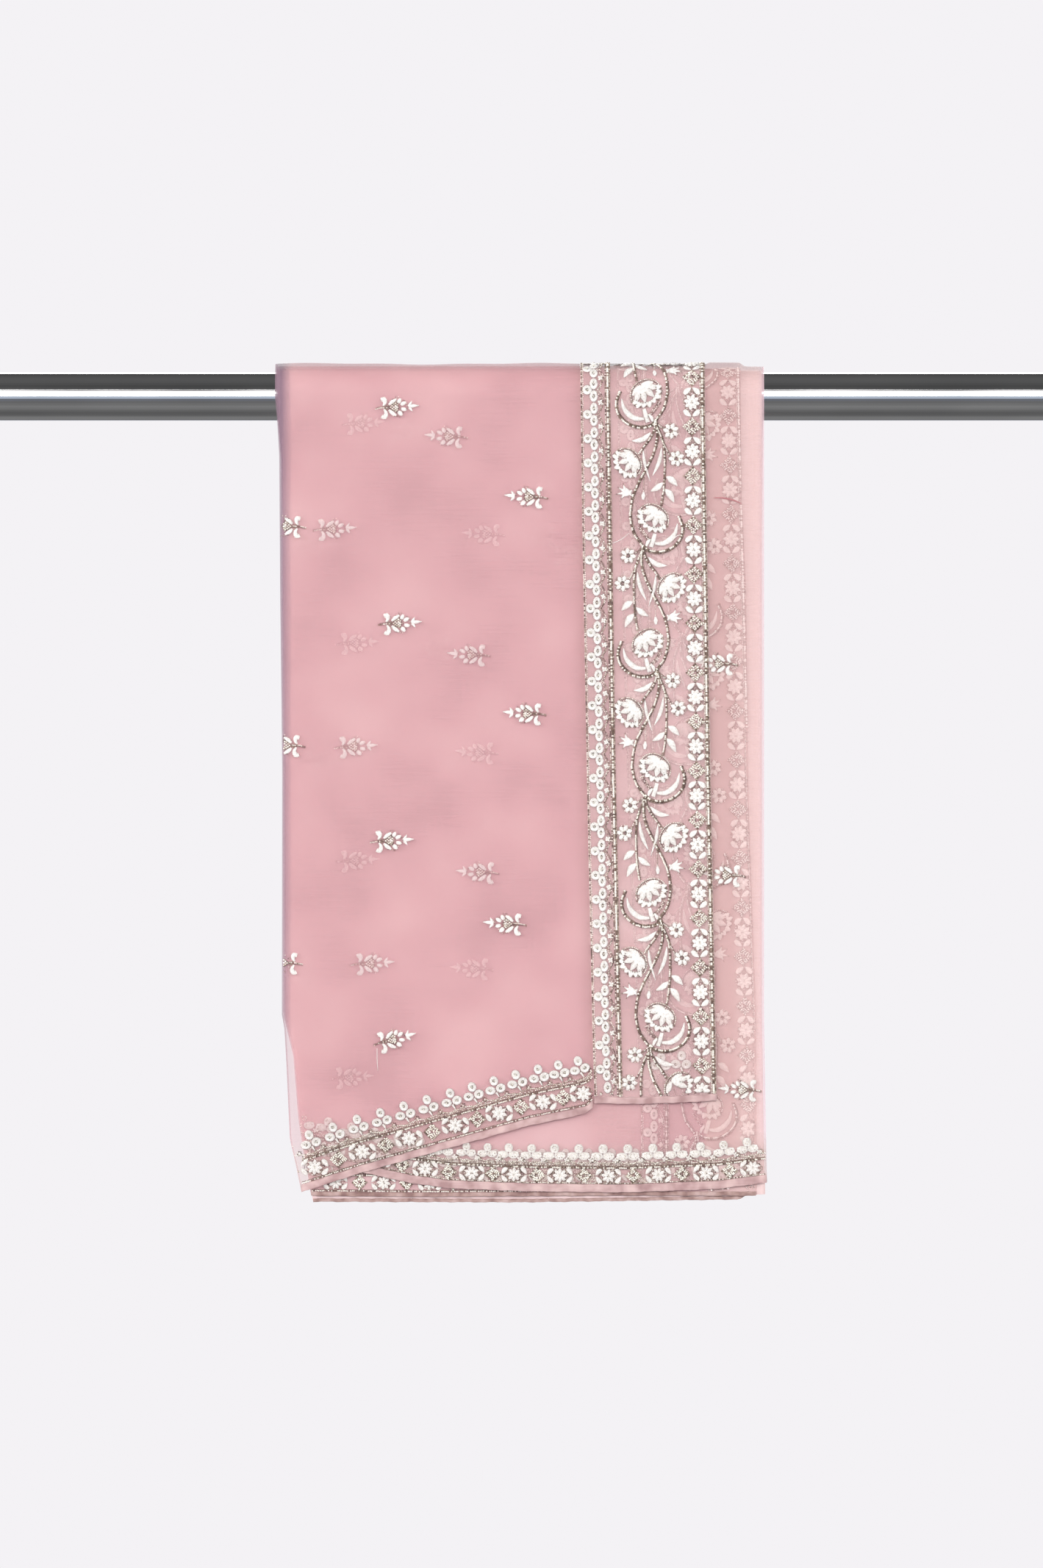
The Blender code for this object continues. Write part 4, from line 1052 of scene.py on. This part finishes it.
# Hems. Columns: name, layer, line, height, span in front, span behind, seed, material
HEMS = [
    ("top_hem_cloth", "top", TOP_HEM, 4.6, (-134.8, 43.6), (-137.4, 43.0), 21, HEM_ORGANZA),
    ("second_hem_cloth", "second", SECOND_HEM, 5.0, (-131.0, 150.2), (-135.6, 146.6), 31, HEM_ORGANZA),
    ("pallu_hem_cloth", "top", PALLU_HEM, 4.2, (44.6, 119.6), (43.6, 119.6), 41, HEM_ORGANZA),
    ("third_hem_cloth", "third", THIRD_HEM, 2.6, (-128.8, 143.6), (-137.0, 143.2), 51, LOW_HEM_ORGANZA),
    ("folds_hem_cloth", "folds", FOURTH_HEM, 2.2, (-127.6, 136.8), (-136.6, 145.4), 61, LOW_HEM_ORGANZA),
]
top_hems, second_hems, pallu_hems, third_hems, fourth_hems = [
    [hem(name + "_front", layer, line, height, front, 1, material, seed),
     hem(name + "_back", layer, back_of(line), height, back, -1, material, seed + 1)]
    for name, layer, line, height, front, back, seed, material in HEMS]


# Needlework of each layer

def inside_of(sides, limits, clear=0.7):
    (left, back_left), (right, back_right) = sides
    front, back = limits

    def keep(x, along):
        end = np.where(along > 0, read(front, x), read(back, x))
        after = x > edge_at(left, along, back_left) + clear
        return after & (x < edge_at(right, along, back_right) - clear) & (drop_of(along) < end)

    return keep


def at_pixel(px, py):
    """A place on the front fall from a pixel of the photograph."""
    return (px - 709.5) * 0.45, QUARTER + (py - 539) * 0.45


def loose_thread(work, *spots):
    """A stray end of white thread."""
    ribbon(work.white, [at_pixel(*spot) for spot in spots], (0.3, 0.42, 0.42, 0.2), 0.25, 6)


work = Work("top", inside_of(((PALLU_LEFT, None), (PALLU_RIGHT, None)), ends(PALLU_HEM, 4.6), 0.2), 0.8)
PALLU_TABLES = (PALLU_LEFT, PALLU_MIDDLE, VINE_MIDDLE, PALLU_STARS, PALLU_RIGHT)
pallu_work(work, PALLU_TABLES, VINE_START, -QUARTER - 476, QUARTER + 434)
loose_thread(work, (833, 739), (845, 734), (856, 725))
loose_thread(work, (914, 736), (921, 729), (930, 727))
pallu_threads = work.finish("pallu_work")

# Rows of each border: how far the lower cord, the stars, the upper cord and the rings lie above the
# hem's line. Places along it: number, x; stars have even numbers
TOP_RISES = (5.6, 12.8, 19.3, 29.4)
TOP_PLACES = [(-2, -155.9), (0, -126.7), (2, -97.5), (4, -68.9), (6, -40.5), (8, -13.7), (10, 13.1),
              (12, 37.9), (13, 51.0)]
SECOND_RISES = (5.6, 10.1, 15.2, 23.6)
SECOND_PLACES = [(-6, -144.0), (0, -59.0), (2, -30.5), (4, -4.6), (6, 23.5), (8, 53.2), (10, 83.8),
                 (12, 113.0), (14, 141.7), (15, 156.0)]
THIRD_RISES = (3.4, 8.4, 13.0, 22.0)
THIRD_PLACES = [(0, -114.0), (2, -84.5), (12, 57.5), (13, 72.0)]

field_keep = inside_of(TOP_SIDES, ends(TOP_HEM, 4.2))
work = Work("top", field_keep)
band_work(work, TOP_HEM, 1, TOP_RISES, (-134, 43), TOP_PLACES, 4.3)
band_work(work, back_of(TOP_HEM), -1, TOP_RISES, (-145, 43), TOP_PLACES, 4.3)
top_band = work.finish("top_band_work")

# Sprigs of the top layer. Columns: x, drop below the rod's axis, side to which the tip points, turn
TOP_SPRIGS = [(-76.3, 6.8, 1, 0), (2.9, 61.7, -1, 0), (-74.5, 139.1, 1, 0), (2.0, 194.4, -1, 0),
              (-79.4, 272.3, 1, 0), (-10.1, 323.1, -1, 0), (-77.6, 393.8, 1, -0.2),
              (-145.2, 79.7, -1, 0), (-145.8, 213.8, -1, 0), (-147.2, 347.0, -1, 0)]
SEEN_BEHIND = 7
work = Work("top", field_keep)
for x, drop, way, turn in TOP_SPRIGS:
    sprig(work, (x, QUARTER + drop), way, turn)
for x, drop, way, _ in TOP_SPRIGS[:SEEN_BEHIND]:
    sprig(work, (x + 4.0, -QUARTER - drop - 28.0), -way)
loose_thread(work, (513, 1426), (513, 1442), (514, 1457))
top_sprigs = work.finish("top_sprigs")

second_keep = inside_of(LOWER_SIDES, ends(SECOND_HEM, 3.4))
work = Work("second", second_keep, 0.85)
band_work(work, SECOND_HEM, 1, SECOND_RISES, (-130, 149), SECOND_PLACES, 4.0, True)
band_work(work, back_of(SECOND_HEM), -1, SECOND_RISES, (-135, 146), SECOND_PLACES, 4.0, True)
second_band = work.finish("second_band_work")

# Sprigs of the lower layers, by pixels of the photograph, and the side to which the tip points
SECOND_SPRIGS = [(607, 594, -1), (455, 720, 1), (638, 891, -1), (484, 1016, 1), (650, 1187, -1),
                 (507, 1311, 1), (975, 903, -1), (985, 1191, -1), (1007, 1483, -1)]
THIRD_SPRIGS = [(494, 576, 1), (658, 727, -1), (486, 875, 1), (649, 1024, -1), (486, 1171, 1),
                (642, 1318, -1), (479, 1466, 1)]
FOURTH_SPRIGS = [(553, 587, 1), (429, 743, 1), (590, 881, -1), (440, 1035, 1), (776, 755, 1),
                 (734, 729, -1)]


def sprigs(work, places, behind=None):
    """Sprigs on the front fall and, where told so, their matches behind: x and along moved, and side."""
    for px, py, way in places:
        x, along = at_pixel(px, py)
        sprig(work, (x, along), way)
        if behind:
            sprig(work, (behind[0] - x, behind[1] - along), behind[2] * way)


work = Work("second", second_keep, 0.85)
sprigs(work, SECOND_SPRIGS, (6.0, 12.0, 1))
for spot in ((899, 1447), (927, 1445)):
    trefoil(work, at_pixel(*spot), 0.0)
second_sprigs = work.finish("second_sprigs")

# A small pleat in the second layer, beside the worked end: a darker sheet along its crease, partly the
# doubled cloth and partly painted shade in the fold
PLEAT_SHADE_PINKS = [(0.36, 0.15, 0.16), (0.40, 0.17, 0.18), (0.45, 0.2, 0.21)]
PLEAT_LINE = [at_pixel(*spot) for spot in ((971, 677), (985, 677.5), (998, 680.5), (1009, 685))]
pleat_sheet = Sheet("second", second_keep)
ribbon(pleat_sheet, PLEAT_LINE, (0.4, 1.1, 1.2, 0.4), 0.5, 10)
pleat = pleat_sheet.build("second_pleat_and_shade", organza("organza_pleat_and_shade", PLEAT_SHADE_PINKS, 0.7))

# The other worked end, seen through the second layer. Columns: drop, how far it lies to the right
THIRD_SHIFT = [(0, 22.2), (330, 25.8), (490, 29.6)]
THIRD_SPAN = (-QUARTER - 410, QUARTER + 486)
third_tables = [[(drop, x + float(read(THIRD_SHIFT, drop))) for drop, x in table]
                for table in PALLU_TABLES]
third_keep = inside_of(((shifted(LOWER_LEFT, 0.6), BACK_LEFT), (OTHER_END, None)),
                       ends(THIRD_HEM, 2.8), 0.5)
work = Work("third", third_keep, 0.7, True)
pallu_work(work, third_tables, VINE_START + 53.6, *THIRD_SPAN)
chain(work.metal, down_line(OTHER_END, -1.6, *THIRD_SPAN), 1.3, 0.5, 0.35, 0.35)
edge_knots = down_line(OTHER_END, -0.5, THIRD_SPAN[0], QUARTER + 330)
chain(work.metal, edge_knots, 3.6, 0.62, 0.0, 0.05, height=0.3)
third_pallu = work.finish("third_pallu_work")

work = Work("third", third_keep, 0.7, True)
sprigs(work, THIRD_SPRIGS, (-8.0, 20.0, -1))
third_sprigs = work.finish("third_sprigs")

work = Work("third", third_keep, 0.7)
band_work(work, THIRD_HEM, 1, THIRD_RISES, (-128, 60), THIRD_PLACES, 3.8)
third_band = work.finish("third_band_work")

work = Work("folds", third_keep, 0.6, True)
sprigs(work, FOURTH_SPRIGS)
folds_sprigs = work.finish("folds_sprigs")

# Each sheet of cloth, the CAD parts it stands for, and a finish; those CAD parts and the CAD hems are
# hidden

REPLACED = [
    (top_cloth, ("top_field", "top_band_front", "top_band_back"), "organza"),
    (pallu_cloth, ("pallu",), "embroidered_organza"),
    (second_cloth, ("second_field", "second_band_front", "second_band_back"), "organza_under"),
    (third_cloth, ("third_stretch",), "organza_under"),
    (folds_cloth, ("inner_folds",), "organza"),
]
for piece, names, slot in REPLACED:
    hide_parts(*names)
for hems, name in ((top_hems, "top_hem"), (second_hems, "second_hem"), (pallu_hems, "pallu_hem")):
    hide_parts(name + "_front")
    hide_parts(name + "_back")

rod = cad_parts["rod"]
rod.data.materials.clear()
rod.data.materials.append(chrome())


# Floor, light and camera

FLOOR_Z = -1.25
FLOOR_RADIUS = 7.5
FLOOR_SIDES = 96


def make_floor():
    mesh = bpy.data.meshes.new("floor")
    rim = [(x, y, FLOOR_Z) for x, y in oval(FLOOR_RADIUS, FLOOR_RADIUS, turns(FLOOR_SIDES))]
    mesh.from_pydata(rim, [], [tuple(range(FLOOR_SIDES))])
    floor = bpy.data.objects.new("floor", mesh)
    bpy.context.scene.collection.objects.link(floor)
    material, tree, shader = start_material("floor_paint")
    grain = noise(tree, node(tree, "TexCoord").outputs["Object"], 3.0, 4.0)
    colour = ramp(tree, grain, [(0.3, (0.70, 0.69, 0.71)), (0.7, (0.73, 0.72, 0.74))])
    fill(tree, shader, {"Base Color": colour, "Roughness": 0.9})
    mesh.materials.append(material)
    floor.visible_glossy = False


# What surrounds the rod, by the sine of the angle above the horizon: dim room, bluish at the horizon
ROOM = [(-1.0, (0.13, 0.13, 0.13)), (-0.82, (0.26, 0.26, 0.26)), (-0.6, (0.2, 0.2, 0.2)),
        (-0.3, (0.15, 0.15, 0.155)), (-0.17, (0.3, 0.35, 0.48)), (0.0, (0.8, 0.9, 1.0)),
        (0.16, (0.9, 0.95, 1.0)), (0.5, (0.09, 0.09, 0.09)), (0.8, (0.08, 0.08, 0.08)),
        (1.0, (0.12, 0.12, 0.12))]
BAND_LOW, BAND_HIGH = 0.14, 0.45
BAND_LIGHT = 5.14
BACKGROUND = (0.904, 0.887, 0.913)


def make_world():
    world = bpy.data.worlds.new("studio")
    world.use_nodes = True
    tree = world.node_tree
    tree.nodes.clear()
    x, _, z = axes_of(tree, node(tree, "TexCoord").outputs["Generated"])
    room = ramp(tree, ranged(tree, z, -1.0, 1.0), [((sine + 1) / 2, colour) for sine, colour in ROOM])
    low = ranged(tree, z, BAND_LOW - 0.03, BAND_LOW)
    high = ranged(tree, z, BAND_HIGH, BAND_HIGH + 0.03, 1.0, 0.0)
    side = maths(tree, "ADD", times(tree, x, -0.3), 1.0)
    strength = times(tree, low, high, side, BAND_LIGHT)
    dim = node(tree, "Background", Color=room)
    bright = node(tree, "Background", Color=(1.0, 0.985, 0.97, 1.0), Strength=strength)
    both = node(tree, "AddShader", i0=dim.outputs[0], i1=bright.outputs[0])
    plain = node(tree, "Background", Color=(*BACKGROUND, 1.0))
    seen = node(tree, "LightPath").outputs["Is Camera Ray"]
    mixed = node(tree, "MixShader", i0=seen, i1=both.outputs[0], i2=plain.outputs[0])
    node(tree, "OutputWorld", Surface=mixed.outputs[0])
    bpy.context.scene.world = world


FRAME_HEIGHT = 0.96
FRAME_MIDDLE = -0.2374
CAMERA_AWAY = 20.0
SENSOR = 24.0


def make_camera():
    data = bpy.data.cameras.new("camera")
    data.sensor_fit = "VERTICAL"
    data.sensor_height = SENSOR
    data.lens = SENSOR * CAMERA_AWAY / FRAME_HEIGHT
    camera = bpy.data.objects.new("camera", data)
    camera.location = (0.0, -CAMERA_AWAY - TOP * MM, FRAME_MIDDLE)
    camera.rotation_euler = (math.pi / 2, 0.0, 0.0)
    bpy.context.scene.collection.objects.link(camera)
    bpy.context.scene.camera = camera


make_floor()
make_world()
make_camera()
bpy.context.scene.view_settings.view_transform = "Standard"
